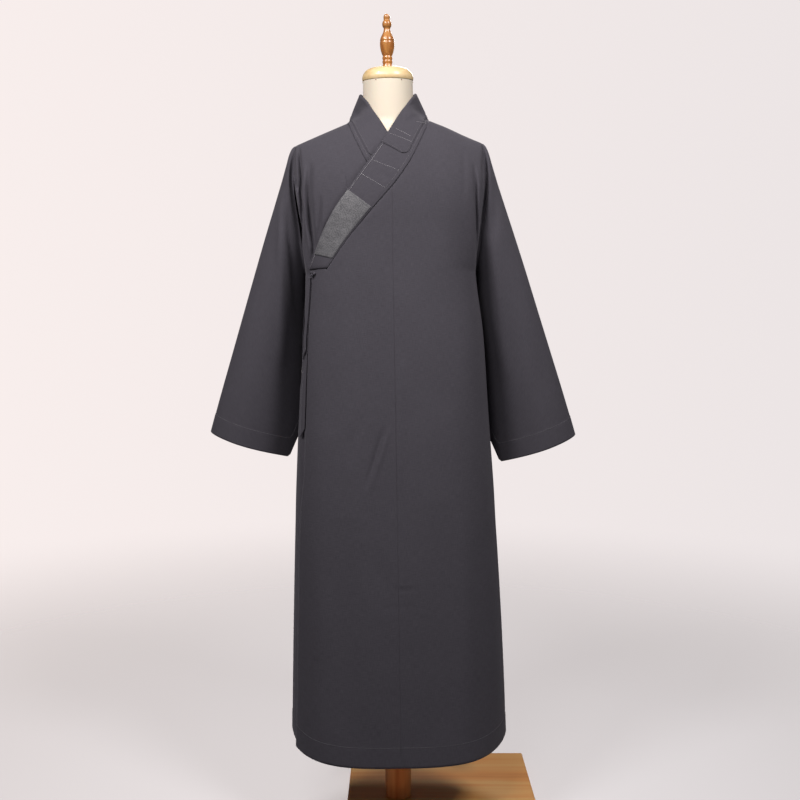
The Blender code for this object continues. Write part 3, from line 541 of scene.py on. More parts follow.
# ---------------------------------------------------------------------------------------
# Neck cap and finial: a turned disc of pale wood that closes the neck, with a turned
# darker knob screwed into it. Brass tacks under its rim hold the jersey.
# ---------------------------------------------------------------------------------------
# Profiles, from the top down: radius and height.
CAP_PROFILE = (
    (0.0000, 1.6360), (0.0270, 1.6360), (0.0330, 1.6357), (0.0385, 1.6346), (0.0435, 1.6325),
    (0.0480, 1.6293), (0.0515, 1.6250), (0.0532, 1.6222), (0.0535, 1.6208), (0.0542, 1.6195),
    (0.0549, 1.6170), (0.0551, 1.6140), (0.0549, 1.6112), (0.0543, 1.6095), (0.0000, 1.6090),
)
FINIAL_PROFILE = (
    (0.0000, 1.7450), (0.0030, 1.7449), (0.0050, 1.7440), (0.0062, 1.7420), (0.0070, 1.7395),
    (0.0069, 1.7368), (0.0066, 1.7340), (0.0067, 1.7325), (0.0078, 1.7312), (0.0090, 1.7292),
    (0.0098, 1.7265), (0.0100, 1.7240), (0.0096, 1.7212), (0.0087, 1.7192), (0.0074, 1.7176),
    (0.0068, 1.7162), (0.0068, 1.7148), (0.0074, 1.7115), (0.0086, 1.7078), (0.0104, 1.7040),
    (0.0124, 1.7005), (0.0140, 1.6970), (0.0150, 1.6935), (0.0152, 1.6912), (0.0148, 1.6905),
    (0.0149, 1.6897), (0.0155, 1.6885), (0.0156, 1.6850), (0.0153, 1.6800), (0.0146, 1.6750),
    (0.0136, 1.6705), (0.0122, 1.6660), (0.0104, 1.6618), (0.0096, 1.6603), (0.0099, 1.6590),
    (0.0107, 1.6575), (0.0109, 1.6560), (0.0106, 1.6545), (0.0097, 1.6528), (0.0097, 1.6515),
    (0.0106, 1.6500), (0.0109, 1.6484), (0.0106, 1.6468), (0.0097, 1.6452), (0.0097, 1.6440),
    (0.0104, 1.6420), (0.0114, 1.6390), (0.0119, 1.6363), (0.0000, 1.6362),
)
TACKS = 6
FIRST_TACK = math.radians(33.0)   # round from the front
TACK_RADIUS = 0.0013
TACK_DROP = 0.0022                # below the cap's underside

# Pale beech, turned and varnished: even, yellowish, hardly any figure.
cap_wood = varnished_wood("varnished_pale_beech", ("#CFA96E", "#E8CC9A", "#F2DDB4"),
                          0.38, 0.35, "X", 18.0, 2.2)
# Honey-stained beech, turned: the stain gathers in the coves and thins on the beads.
finial_wood = varnished_wood("varnished_honey_beech", ("#7E441C", "#A46632", "#BF8649"),
                             0.30, 0.5, "Z", 9.0, 1.4)
cap = turned("neck_cap_turned", CAP_PROFILE, cap_wood, HEAD_TILT, NECK_TOP_Z)
finish_piece(cap, ["neck_cap"])
knob = turned("finial_turned", FINIAL_PROFILE, finial_wood, HEAD_TILT, NECK_TOP_Z)
finish_piece(knob, ["finial"])

# Brass, stamped and tarnished: brown, with a dull shine.
brass, _, _ = new_material("tarnished_brass", {
    "Base Color": linear("#8A6A3C"), "Metallic": 1.0, "Roughness": 0.45})
edit = bmesh.new()
for number in range(TACKS):
    turn = FIRST_TACK + number * 2 * math.pi / TACKS - math.pi / 2
    made = bmesh.ops.create_uvsphere(edit, u_segments=12, v_segments=6, radius=TACK_RADIUS)
    rim_y = NECK_RADIUS * math.sin(turn)
    centre = np.array((NECK_RADIUS * math.cos(turn), rim_y,
                       NECK_TOP_Z - TACK_DROP + rim_y * math.tan(HEAD_TILT)))
    bmesh.ops.translate(edit, verts=made["verts"], vec=leaned(centre))
tack_mesh = bpy.data.meshes.new("tacks")
store(edit, tack_mesh)
tack_mesh.shade_smooth()
tacks = new_object("tacks", tack_mesh, brass)
finish_piece(tacks, [])


# ---------------------------------------------------------------------------------------
# Robe, upper front: the wearer's left front in one length with the back, and the lap
# sewn to it at the centre seam. Charcoal cotton, double at the hem, crossing to the
# wearer's right, where its free edge hangs over the front beneath.
# ---------------------------------------------------------------------------------------
LAYER = 0.0045         # how far the upper front lies outside the lower
HEM_Z = 0.182
HEM_RISE = 0.018       # the hem is cut this much higher at the sides
LAP_HEM_RISE = 0.034   # and this much at the lap's side
HEM_FOLD = 0.044       # depth of the turned-up hem
ARM_V = 0.36           # a level of cloth just below the armpit
LAP_EDGE_K = -0.862    # the lap's free edge, as a share of the half width
SLIT_Z = 0.700         # the tops of the side slits
SLIT_INSET = 0.018     # share by which a front's edge draws back along a slit
LAP_DRIFT = 0.055      # share by which the lap's free edge runs outward towards the hem
RUN_FROM = 0.1         # both begin this far above the slit's top
RUN_FULL = 0.15        # and are complete after this length
SIDE_FROM = 0.55       # a panel's side begins at this share of the half width
SIDE_RUN = 0.4         # and is full after this one more
LAYER_RUN = 0.37       # the upper front comes down to the back's level over this one
LAYER_TOP_RUN = 0.05   # and starts from it over this length below the shoulder fold
NECK_DRAW = 0.004      # share by which the cloth is drawn out from beside the neck
NECK_DRAW_FROM = 0.2   # from this share of the half width to twice that
GRID_STEP = 0.005      # spacing of the cloth's points along the collar
SIDE_COLUMNS = 56      # columns of points from the neck to the side
LAP_COLUMNS = 60       # and from the collar's tip
UPPER_ROWS = 72        # rows of points from the shoulder to below the armpit
LAP_ROWS = 36          # and from the lap's top
LOWER_ROWS = 189       # from there to the hem
SEAM_DIP = 0.00005     # a pressed seam sinks this much
SEAM_HALF = 0.0030     # this far to each side
COLLAR_DIP = 0.0030    # the fronts sink by this much where the collar is sewn on
COLLAR_DIP_HALF = 0.0035
SEWN_BELOW = 0.02      # which is where a panel's top lies this far below the shoulder fold
HEM_CALM = 0.03        # creases fade out over this length of cloth above the hem
HEM_KEEPS = 0.4        # but for this share of them
FOLD_CALM = 0.02       # and over this length below the shoulder fold
HEM_SWEEP = 6          # the hem's rise to the sides goes with this power
SEAM_TUCK = 0.012      # share by which the lap runs on under the left front at their seam
SEAM_SINK = 0.0015     # and how far it dips there
LAP_TUCK = 0.006       # and its top this far under the collar's tip
FOLD_TAPER = 0.7       # below 1, folds stay deep nearer to their ends
LIP_AT = 1.7           # a lip's crest, in half widths from the trough

# The collar band: where it joins the front, its free edge, and where that edge stands
# round the neck (nan: it lies on the front). From the tip up to the side of the neck.
COLLAR = np.array((
    (-0.1301, 1.2010, -0.1668, 1.2010, np.nan),
    (-0.1159, 1.2208, -0.1549, 1.2317, np.nan),
    (-0.0898, 1.2575, -0.1355, 1.2790, np.nan),
    (-0.0640, 1.2890, -0.1100, 1.3245, np.nan),
    (-0.0356, 1.3223, -0.0840, 1.3600, np.nan),
    (0.0061, 1.3690, -0.0530, 1.4030, np.nan),
    (0.0247, 1.3931, -0.0360, 1.4253, np.nan),
    (0.0463, 1.4270, -0.0115, 1.4620, np.nan),
    (0.0600, 1.4560, 0.0065, 1.4935, -0.0810),
    (0.0700, 1.4790, 0.0200, 1.5175, -0.0660),
    (0.0775, 1.4990, 0.0330, 1.5385, -0.0520),
    (0.0830, 1.5125, 0.0470, 1.5620, -0.0345),
    (0.0850, 1.5165, 0.0560, 1.5740, -0.0180),
    (NECK_X, NECK_Z, 0.0588, 1.5830, 0.0000),
))
CENTRE_ROW = 5         # the row of COLLAR at the centre seam
UNDER_END_ROW = 2      # and where the band under the lap ends

# Folds are soft troughs or ridges along a line of (x, z) in mm on the upright column,
# seen from the front. width: half of it, mm. height: mm, below nought for a trough.
# lip: a smaller rise beside the trough, as a share of it, on the line's left.
Fold = namedtuple("Fold", "line width height lip")
LEFT_ARMHOLE_FOLDS = (    # where the empty sleeve pulls the shoulder's cloth down
    Fold(((202, 1450), (199, 1425), (198, 1381), (196, 1339), (190, 1308)), 3.2, -9.0, 0.0),
    Fold(((178, 1416), (180, 1390), (181, 1350), (182, 1305), (182, 1262), (183, 1215)),
         3.4, -11.0, 0.4),
)
SKIRT_FOLDS = (           # these run through both layers of the front
    Fold(((-96, 690), (-104, 500), (-118, 250)), 34.0, -4.5, 0.5),
    Fold(((86, 720), (98, 500), (104, 230)), 38.0, -4.0, 0.5),
    Fold(((164, 640), (176, 430), (184, 240)), 22.0, -3.0, 0.5),
    Fold(((-176, 600), (-186, 420), (-196, 230)), 20.0, -2.6, 0.4),
)
FRONT_FOLDS = (
    Fold(((191, 1412), (191, 1340)), 4.0, 1.6, 0.0),
    Fold(((156, 1450), (156, 1340)), 6.0, -1.2, 0.5),
    Fold(((-4, 1322), (-1, 1254)), 3.5, -1.0, 0.5),
    Fold(((-14, 880), (-33, 820), (-56, 750)), 5.5, -4.2, 0.7),
    Fold(((-60, 905), (-82, 850), (-90, 800)), 11.0, -1.3, 0.5),
    Fold(((-8, 549), (21, 546), (50, 549)), 3.5, -1.4, 0.6),
    Fold(((-30, 512), (8, 508), (40, 511)), 5.0, -0.7, 0.4),
    Fold(((15, 1010), (16, 900), (13, 740)), 10.0, 1.6, 0.0),
    Fold(((-126, 1150), (-134, 1000), (-128, 860)), 26.0, -2.2, 0.4),
    Fold(((104, 1200), (118, 1060), (112, 900)), 30.0, -2.4, 0.4),
    Fold(((52, 1390), (84, 1330), (112, 1250)), 20.0, -1.6, 0.4),
    Fold(((-46, 640), (-20, 560), (10, 500)), 18.0, -1.0, 0.3),
) + SKIRT_FOLDS


def cloth_down_to(z):
    """Metres of cloth from the shoulder fold down to z, at or below the chest line."""
    return YOKE + CHEST_Z - z


def body_point(face, k, v):
    """Points of the hanging robe. face: -1 front, +1 back. k: share of the half width.
    v: metres of cloth down from the shoulder fold."""
    k, v = np.broadcast_arrays(np.asarray(k, float), np.asarray(v, float))
    side = FRONT if face < 0 else BACK
    roll = np.minimum(v, YOKE) / YOKE * math.pi / 2
    edge_z = CHEST_Z + (SHOULDER_Z - CHEST_Z) * np.cos(roll)
    upper_x = k * half_width(edge_z)
    upper_z = CHEST_Z + (shoulder_line(upper_x) - CHEST_Z) * np.cos(roll)
    upper_y = section_depth(k, level(BODY, side, CHEST_Z), ARMHOLE_DEPTH) * np.sin(roll)
    lower_z = CHEST_Z + YOKE - v
    lower_x = k * half_width(lower_z, k)
    lower_y = section_depth(k, level(BODY, side, lower_z), armhole_depth(lower_z))
    upper = v < YOKE
    x = np.where(upper, upper_x, lower_x)
    y = np.where(upper, upper_y, lower_y)
    z = np.where(upper, upper_z, lower_z)
    return np.stack([x, face * y, z], axis=-1)


def cloth_place(x, z):
    """The k and v of the body's points with this x and z."""
    x, z = np.broadcast_arrays(np.asarray(x, float), np.asarray(z, float))
    rise = np.clip((z - CHEST_Z) / (shoulder_line(x) - CHEST_Z), 0.0, 1.0)
    roll = np.arccos(rise)
    edge_z = CHEST_Z + (SHOULDER_Z - CHEST_Z) * np.cos(roll)
    below = z <= CHEST_Z
    k = np.where(below, x / half_width(z, x), x / half_width(edge_z))
    v = np.where(below, cloth_down_to(z), roll / (math.pi / 2) * YOKE)
    return k, v


def lifted(face, k, v, lift):
    """Body points moved out by lift along the body's own outward direction."""
    step = 0.004                       # far enough to smooth out the points' own spacing
    inner = np.clip(k, -0.97, 0.97)    # the very side has no direction of its own
    lower = np.maximum(v, step)
    across = body_point(face, inner + step, lower) - body_point(face, inner - step, lower)
    down = body_point(face, inner, lower + step) - body_point(face, inner, lower - step)
    normal = np.cross(across, down)
    normal /= np.linalg.norm(normal, axis=-1, keepdims=True)
    normal *= np.where(normal[..., 1:2] * face < 0, -1.0, 1.0)
    return body_point(face, k, v) + normal * np.asarray(lift)[..., None]


def grid_normals(points, outward):
    """The outward direction at each point of a grid."""
    normal = np.cross(np.gradient(points, axis=1), np.gradient(points, axis=0))
    normal /= np.maximum(np.linalg.norm(normal, axis=-1, keepdims=True), 1e-12)
    if np.sum(normal * outward) < 0:
        normal = -normal
    return normal


def fold_relief(points, folds):
    """How far folds raise or sink the points, in metres."""
    x = points[..., 0] * 1000.0
    z = points[..., 2] * 1000.0
    relief = np.zeros(x.shape)
    for fold in folds:
        line = np.array(fold.line, float)
        lengths = np.hypot(*np.diff(line, axis=0).T)
        starts = np.concatenate([[0.0], np.cumsum(lengths)])
        nearest = np.full(x.shape, np.inf)
        side = np.zeros(x.shape)
        along = np.zeros(x.shape)
        for number, length in enumerate(lengths):
            step = (line[number + 1] - line[number]) / length
            from_x = x - line[number, 0]
            from_z = z - line[number, 1]
            run = np.clip(from_x * step[0] + from_z * step[1], 0.0, length)
            off = np.hypot(from_x - run * step[0], from_z - run * step[1])
            turned_to = np.sign(step[0] * from_z - step[1] * from_x)
            closer = off < nearest
            nearest = np.where(closer, off, nearest)
            side = np.where(closer, off * turned_to, side)
            along = np.where(closer, starts[number] + run, along)
        share = along / starts[-1]
        taper = np.sin(math.pi * np.clip(share, 0.0, 1.0)) ** FOLD_TAPER
        reach = side / fold.width
        shape = np.exp(-reach ** 2)
        beside = reach - math.copysign(LIP_AT, fold.lip)
        shape -= abs(fold.lip) * np.exp(-beside ** 2)
        relief += fold.height * taper * shape
    return relief / 1000.0


def hem_v(k):
    """Metres of cloth from the shoulder fold to the hem."""
    rise = np.where(k < 0, LAP_HEM_RISE, HEM_RISE) * np.abs(k) ** HEM_SWEEP
    return cloth_down_to(HEM_Z) - rise


# The rows of COLLAR as curves over metres along its seam. How far the free edge stands
# away from the body takes the place of where it stands.
seam_steps = np.hypot(*np.diff(COLLAR[:, :2], axis=0).T)
row_at = np.concatenate([[0.0], np.cumsum(seam_steps)])
edge_rows = body_point(-1, *cloth_place(COLLAR[:, 2], COLLAR[:, 3]))
stands = np.where(np.isnan(COLLAR[:, 4]), 0.0, COLLAR[:, 4] - edge_rows[:, 1])
COLLAR_CURVE = np.column_stack([row_at, COLLAR[:, :4], stands])


def seam_places(first_row, last_row):
    """k and v along the collar's seam, between two rows of its table."""
    start, end = row_at[first_row], row_at[last_row]
    run = np.linspace(start, end, int((end - start) / GRID_STEP) + 2)
    return cloth_place(level(COLLAR_CURVE, 1, run), level(COLLAR_CURVE, 2, run))


def side_columns(first_k, count):
    """Columns from first_k to the side, evenly spaced along the oval section."""
    first = math.asin(first_k ** (ROUNDNESS / 2))
    turns = np.linspace(first, math.pi / 2, count + 1)[1:]
    return np.sin(turns) ** (2.0 / ROUNDNESS)


def drawn_from_neck(k):
    """Columns beside the neck, drawn a little outward."""
    return k + NECK_DRAW * eased((k - NECK_DRAW_FROM) / NECK_DRAW_FROM)


def upper_front_lift(k, v):
    """The upper front lies a layer out, and comes down to the back's level at its side."""
    return LAYER * (1.0 - eased((k - SIDE_FROM) / LAYER_RUN)) * eased(v / LAYER_TOP_RUN)


# A strip of doubled cloth along an edge: how far it stands up, over what ramp, and the
# groove of its stitches: how deep, half how wide, and how far inside the strip.
Strip = namedtuple("Strip", "rise ramp groove half_groove inside")
HEM_STRIP = Strip(0.0006, 0.002, 0.0005, 0.0012, 0.001)


def strip_relief(strip, width, distance):
    """Relief of a stitched strip of this width, at a distance from its edge."""
    raised = strip.rise * eased((width - distance) / strip.ramp)
    from_groove = (distance - width + strip.inside) / strip.half_groove
    return raised - strip.groove * np.exp(-from_groove ** 2)


# A grid of points of cloth, with the outward direction and the length of cloth down to the
# hem at each of them.
Panel = namedtuple("Panel", "points normals to_hem")


def panel(face, columns, tops, lift, edge_run, top_rows, folds, seam_at, straight=()):
    """A panel of the body, with its folds, seam and hem pressed in. columns and tops: k of
    each column and v at its top. edge_run: share by which its side runs out in the skirt.
    straight: folds that go straight back instead of square to the cloth."""
    shares = np.concatenate([np.linspace(0.0, 1.0, top_rows) ** ROWS_GATHER,
                             1.0 + np.linspace(0.0, 1.0, LOWER_ROWS + 1)[1:]])[:, None]
    k = np.broadcast_to(columns, (len(shares), len(columns)))
    upper_v = tops + (ARM_V - tops) * shares
    lower_v = ARM_V + (hem_v(k) - ARM_V) * (shares - 1.0)
    v = np.where(shares <= 1.0, upper_v, lower_v)
    opened = eased((SLIT_Z + RUN_FROM - body_point(face, k, v)[..., 2]) / RUN_FULL)
    k = k * (1.0 + edge_run * opened * eased((np.abs(k) - SIDE_FROM) / SIDE_RUN))
    to_hem = hem_v(k) - v
    points = lifted(face, k, v, lift(k, v))
    outward = np.array((0.0, face, 0.0))
    normals = grid_normals(points, outward)
    relief = fold_relief(points, folds)
    relief *= eased(to_hem / HEM_CALM + HEM_KEEPS) * eased(np.abs(v) / FOLD_CALM)
    from_seam = np.abs(k - seam_at) * half_width(CHEST_Z)
    relief -= SEAM_DIP * np.exp(-(from_seam / SEAM_HALF) ** 2)
    sewn_on = tops > SEWN_BELOW
    relief -= COLLAR_DIP * np.exp(-((v - tops) / COLLAR_DIP_HALF) ** 2) * sewn_on
    relief += strip_relief(HEM_STRIP, HEM_FOLD, to_hem)
    points = points + normals * relief[..., None]
    points = points + outward * fold_relief(points, straight)[..., None]
    return Panel(points, grid_normals(points, outward), to_hem)


def cloth_shell(name, points, outward, finish, wall=CLOTH):
    """A sheet of cloth on a grid of points, with its wall on the inside."""
    piece = new_object(name, grid_mesh(name, points, outward), finish)
    wall_thickness = piece.modifiers.new("wall", "SOLIDIFY")
    wall_thickness.thickness = wall
    wall_thickness.offset = -1.0
    return piece


def woven_cotton(name, dark, light, roughness):
    """Plain-woven cotton, dyed: matt, a little uneven in the dye, with slubs in the yarn."""
    finish, tree, shader = new_material(name, {
        "Roughness": roughness, "Specular IOR Level": 0.25,
        "Sheen Weight": 0.35, "Sheen Roughness": 0.45, "Sheen Tint": linear("#8E8C94")})
    place = add_node(tree, "ShaderNodeTexCoord", {}, {})
    # yarn 0.4 mm, drawn 1.1 mm across and 14 mm long so that its slubs can show
    yarns = []
    for scale in ((900.0, 70.0, 1.0), (70.0, 900.0, 1.0)):
        drawn = add_node(tree, "ShaderNodeMapping", {}, {
            "Vector": place.outputs["UV"], "Scale": scale})
        yarns.append(add_node(tree, "ShaderNodeTexNoise", {"noise_dimensions": "2D"}, {
            "Vector": drawn.outputs[0], "Scale": 1.0, "Detail": 1.0}).outputs["Fac"])
    weave = add_node(tree, "ShaderNodeMath", {"operation": "ADD"}, {0: yarns[0], 1: yarns[1]})
    dye = add_node(tree, "ShaderNodeTexNoise", {}, {
        "Vector": place.outputs["Object"], "Scale": 11.0, "Detail": 3.0, "Roughness": 0.6})
    tone = add_node(tree, "ShaderNodeMath", {"operation": "MULTIPLY_ADD"}, {
        0: dye.outputs["Fac"], 1: 0.5, 2: weave.outputs[0]})
    share = add_node(tree, "ShaderNodeMapRange", {}, {
        "Value": tone.outputs[0], "From Min": 0.5, "From Max": 2.0})
    colour = add_node(tree, "ShaderNodeMix", {"data_type": "RGBA"}, {
        0: share.outputs[0], 6: linear(dark), 7: linear(light)})
    tree.links.new(colour.outputs[2], shader.inputs["Base Color"])
    relief = add_node(tree, "ShaderNodeBump", {}, {
        "Strength": 0.3, "Distance": 0.00035, "Height": weave.outputs[0]})
    tree.links.new(relief.outputs["Normal"], shader.inputs["Normal"])
    return finish


# Charcoal plain-weave cotton, washed: it takes the light softly, with no shine on folds.
charcoal = woven_cotton("charcoal_plain_cotton", "#3A383F", "#4A4850", 0.88)

toward_front = np.array((0.0, -1.0, 0.0))
centre_k, _ = cloth_place(COLLAR[CENTRE_ROW, 0], COLLAR[CENTRE_ROW, 1])
seam_k, seam_v = seam_places(CENTRE_ROW, len(COLLAR) - 1)
left_sides = side_columns(drawn_from_neck(seam_k[-1]), SIDE_COLUMNS)
left_columns = np.concatenate([drawn_from_neck(seam_k), left_sides])
left_tops = np.concatenate([seam_v, np.zeros(len(left_sides))])
front_left = panel(-1, left_columns, left_tops, upper_front_lift, -SLIT_INSET, UPPER_ROWS,
                   FRONT_FOLDS, centre_k, LEFT_ARMHOLE_FOLDS)
piece = cloth_shell("left_front", front_left.points, toward_front, charcoal)
finish_piece(piece, ["front_left"])

lap_k, lap_v = seam_places(0, CENTRE_ROW)
lap_sides = -side_columns(-lap_k[0], LAP_COLUMNS)[::-1]
inside_edge = lap_sides > LAP_EDGE_K + 0.003   # none so near the edge that faces get thin
lap_sides = np.concatenate([[LAP_EDGE_K], lap_sides[inside_edge]])
lap_columns = np.concatenate([lap_sides, lap_k, [lap_k[-1] + SEAM_TUCK]])
lap_top = cloth_down_to(ARMPIT_Z) - LAP_TUCK
lap_tops = np.concatenate([np.full(len(lap_sides), lap_top), lap_v, lap_v[-1:]])


def lap_lift(k, v):
    """The lap lies level with the left front, and dips under it past their seam."""
    return upper_front_lift(k, v) - SEAM_SINK * eased((k - centre_k) / SEAM_TUCK)


front_lap = panel(-1, lap_columns, lap_tops, lap_lift, LAP_DRIFT, LAP_ROWS, FRONT_FOLDS,
                  centre_k)
piece = cloth_shell("lap", front_lap.points, toward_front, charcoal)
finish_piece(piece, ["front_lap"])


# ---------------------------------------------------------------------------------------
# Robe, lower front: the wearer's right front, one length with the back. It passes under
# the lap and ends in a plain turned edge that the lap hides.
# ---------------------------------------------------------------------------------------
NO_SEAM = -2.0            # a place off the cloth, for a panel without a seam
NARROW_COLUMNS = 88       # closer than on the left, for narrower folds
BAND_HOLLOW = Fold(tuple(1000.0 * COLLAR[:9, 2:4]), 4.6, -4.8, 0.0)   # under the band's edge
UNDER_FOLDS = (
    BAND_HOLLOW,
    Fold(((-206, 1404), (-202, 1366), (-195, 1319), (-187, 1274), (-177, 1233), (-169, 1204),
          (-172, 1150)), 3.4, -8.0, 0.0),
    Fold(((-216, 1260), (-217, 1150), (-219, 1000), (-221, 860)), 13.0, -13.0, 0.0),
    Fold(((-188, 1230), (-188, 1130), (-189, 1000), (-191, 840), (-192, 700)), 3.2, -8.0, 0.0),
    Fold(((-196, 1225), (-197, 1120), (-200, 1010), (-203, 950)), 8.0, -7.0, 0.0),
) + SKIRT_FOLDS

RIGHT_ARMHOLE_FOLDS = (   # the pull of the tied lap gathers the cloth below the shoulder
    Fold(((-191, 1466), (-188, 1432), (-184, 1392), (-184, 1350), (-182, 1318)),
         3.4, -12.0, -0.8),
    Fold(((-204, 1422), (-197, 1396), (-187, 1362), (-181, 1330)), 3.2, -10.0, -0.5),
    Fold(((-182, 1346), (-182, 1304), (-184, 1264)), 3.6, -9.0, -0.3),
    Fold(((-163, 1424), (-168, 1364), (-165, 1302), (-158, 1245), (-162, 1212)),
         6.5, -14.0, -0.35),
    Fold(((-168, 1334), (-163, 1290), (-158, 1246), (-160, 1222)), 3.4, -5.0, 0.0),
    Fold(((-142, 1352), (-145, 1290), (-157, 1228)), 4.6, -4.5, 0.4),
)

under_k, under_v = seam_places(UNDER_END_ROW, len(COLLAR) - 1)
right_sides = side_columns(drawn_from_neck(under_k[-1]), NARROW_COLUMNS)
right_columns = np.concatenate([-right_sides[::-1], -drawn_from_neck(under_k[::-1])])
right_tops = np.concatenate([np.zeros(len(right_sides)), under_v[::-1]])


def no_lift(k, v):
    """The lower front and the backs lie on the body itself."""
    return np.zeros(k.shape)


front_right = panel(-1, right_columns, right_tops, no_lift, -SLIT_INSET, UPPER_ROWS,
                    UNDER_FOLDS, NO_SEAM, RIGHT_ARMHOLE_FOLDS)
piece = cloth_shell("right_front", front_right.points, toward_front, charcoal)
finish_piece(piece, ["front_right"])


# ---------------------------------------------------------------------------------------
# Robe, backs: two lengths of the same cotton, cut in one with the fronts at the shoulder
# and sewn together down the centre back.
# ---------------------------------------------------------------------------------------
# The neckline behind, from the side to the centre: x and z of the collar's seam, how far
# round the neck its free edge is there, in degrees, and that edge's height.
BACK_COLLAR = np.array((
    (NECK_X, NECK_Z, 0.0, 1.5830),
    (0.0835, 1.5175, 9.0, 1.5840),
    (0.0770, 1.5140, 22.0, 1.5852),
    (0.0640, 1.5095, 42.0, 1.5870),
    (0.0350, 1.5060, 66.0, 1.5885),
    (0.0000, 1.5050, 90.0, 1.5890),
))
BACK_FOLDS = (
    Fold(((-216, 1260), (-217, 1150), (-219, 1000), (-221, 860)), 13.0, -13.0, 0.0),
    Fold(((-186, 1420), (-184, 1350), (-176, 1290), (-166, 1232)), 8.5, -5.0, 0.35),
    Fold(((-158, 1400), (-168, 1330), (-168, 1262)), 9.0, -2.8, 0.4),
    Fold(((182, 1412), (185, 1350), (180, 1292), (170, 1228)), 8.0, -5.5, -0.35),
    Fold(((154, 1404), (166, 1340), (170, 1280)), 10.0, -2.4, -0.4),
    Fold(((-70, 1470), (-60, 1400), (-66, 1330)), 24.0, -1.8, 0.4),
    Fold(((62, 1474), (70, 1410), (60, 1350)), 20.0, -1.6, 0.4),
    Fold(((-112, 1180), (-120, 1020), (-110, 860)), 28.0, -2.6, 0.5),
    Fold(((96, 1160), (108, 980), (100, 840)), 26.0, -2.4, 0.5),
    Fold(((30, 980), (52, 900), (60, 830)), 9.0, -1.8, 0.6),
    Fold(((-52, 760), (-46, 560), (-58, 250)), 36.0, -4.5, 0.5),
    Fold(((66, 730), (72, 520), (82, 230)), 34.0, -4.8, 0.5),
    Fold(((-146, 700), (-158, 480), (-170, 240)), 30.0, -4.0, 0.5),
    Fold(((152, 680), (162, 460), (174, 240)), 28.0, -3.6, 0.5),
    Fold(((-20, 600), (6, 596), (30, 601)), 4.0, -1.0, 0.5),
)

back_steps = np.hypot(*np.diff(BACK_COLLAR[:, :2], axis=0).T)
back_at = np.concatenate([[0.0], np.cumsum(back_steps)])
BACK_CURVE = np.column_stack([back_at, BACK_COLLAR[:, :2], np.radians(BACK_COLLAR[:, 2]),
                              BACK_COLLAR[:, 3]])
run = np.linspace(0.0, back_at[-1], 24)
neck_k, neck_v = cloth_place(level(BACK_CURVE, 1, run), level(BACK_CURVE, 2, run))
backs = {}
for side, name, node_name in ((1, "left_back", "back_left"), (-1, "right_back", "back_right")):
    columns = side * np.concatenate([neck_k[::-1], left_sides])
    tops = np.concatenate([neck_v[::-1], np.zeros(len(left_sides))])
    backs[side] = panel(1, columns, tops, no_lift, 0.0, UPPER_ROWS, BACK_FOLDS, 0.0)
    piece = cloth_shell(name, backs[side].points, -toward_front, charcoal)
    finish_piece(piece, [node_name])


# ---------------------------------------------------------------------------------------
# Sleeves: wide and flat-cut, each folded once along its top and closed by one seam under
# the arm. Empty, they hang at the sides and flare to a deep cuff with a turned hem.
# ---------------------------------------------------------------------------------------
CUFF_DIP = 0.047       # how far the front of the cuff hangs below a straight one
CUFF_DIP_AT = 0.90     # where across the sleeve it hangs lowest
CUFF_DIP_FROM = 5      # the section where the dip begins
CUFF_TILT = 0.009      # the right cuff hangs this much higher, the left this much lower
CUFF_FOLD = 0.043
HUG_RINGS = 7          # as far as this section the sleeve follows the body's side
UNDERARM_BACK = 0.030  # the underarm seam hangs this far behind the body's side
UNDERARM_RINGS = 6     # from this section on
INNER_FALL = 1.5       # above 1, the face falls more evenly from its deepest to the underarm
LAST_RING = 13
CLOSE_RINGS = 4        # rings of points lie closer as far as this section
SLEEVE_RINGS = (20, 122)   # how many lie there, and below it
HALF_ROUND = 34        # points from the outer fold to the underarm
CREASED_FROM = 0.6     # creases are full from this section on
CUFF_CALM = 0.06       # and fade out over this length of cloth above the cuff

# Sections from armhole to cuff: number, the outer fold's x and z, the underarm's z and its
# gap from the body, half depth, and where along the section it is deepest.
SLEEVE = np.array((
    (0, 0.2003, 1.4743, 1.2000, 0.0000, 0.0420, 0.672),
    (1, 0.2050, 1.4722, 1.1985, 0.0022, 0.0450, 0.664),
    (2, 0.2105, 1.4660, 1.1940, 0.0030, 0.0500, 0.640),
    (3, 0.2160, 1.4530, 1.1850, 0.0030, 0.0555, 0.612),
    (4, 0.2225, 1.4300, 1.1700, 0.0028, 0.0600, 0.582),
    (5, 0.2345, 1.3900, 1.1430, 0.0026, 0.0630, 0.552),
    (6, 0.2515, 1.3370, 1.1080, 0.0024, 0.0635, 0.525),
    (7, 0.2735, 1.2690, 1.0640, 0.0022, 0.0615, 0.500),
    (8, 0.2972, 1.1930, 1.0180, 0.0022, 0.0590, 0.480),
    (9, 0.3220, 1.1120, 0.9700, 0.0022, 0.0570, 0.465),
    (10, 0.3470, 1.0305, 0.9260, 0.0022, 0.0555, 0.455),
    (11, 0.3700, 0.9560, 0.8880, 0.0026, 0.0545, 0.450),
    (12, 0.3880, 0.8960, 0.8590, 0.0036, 0.0540, 0.445),
    (13, 0.4015, 0.8490, 0.8340, 0.0050, 0.0540, 0.445),
))
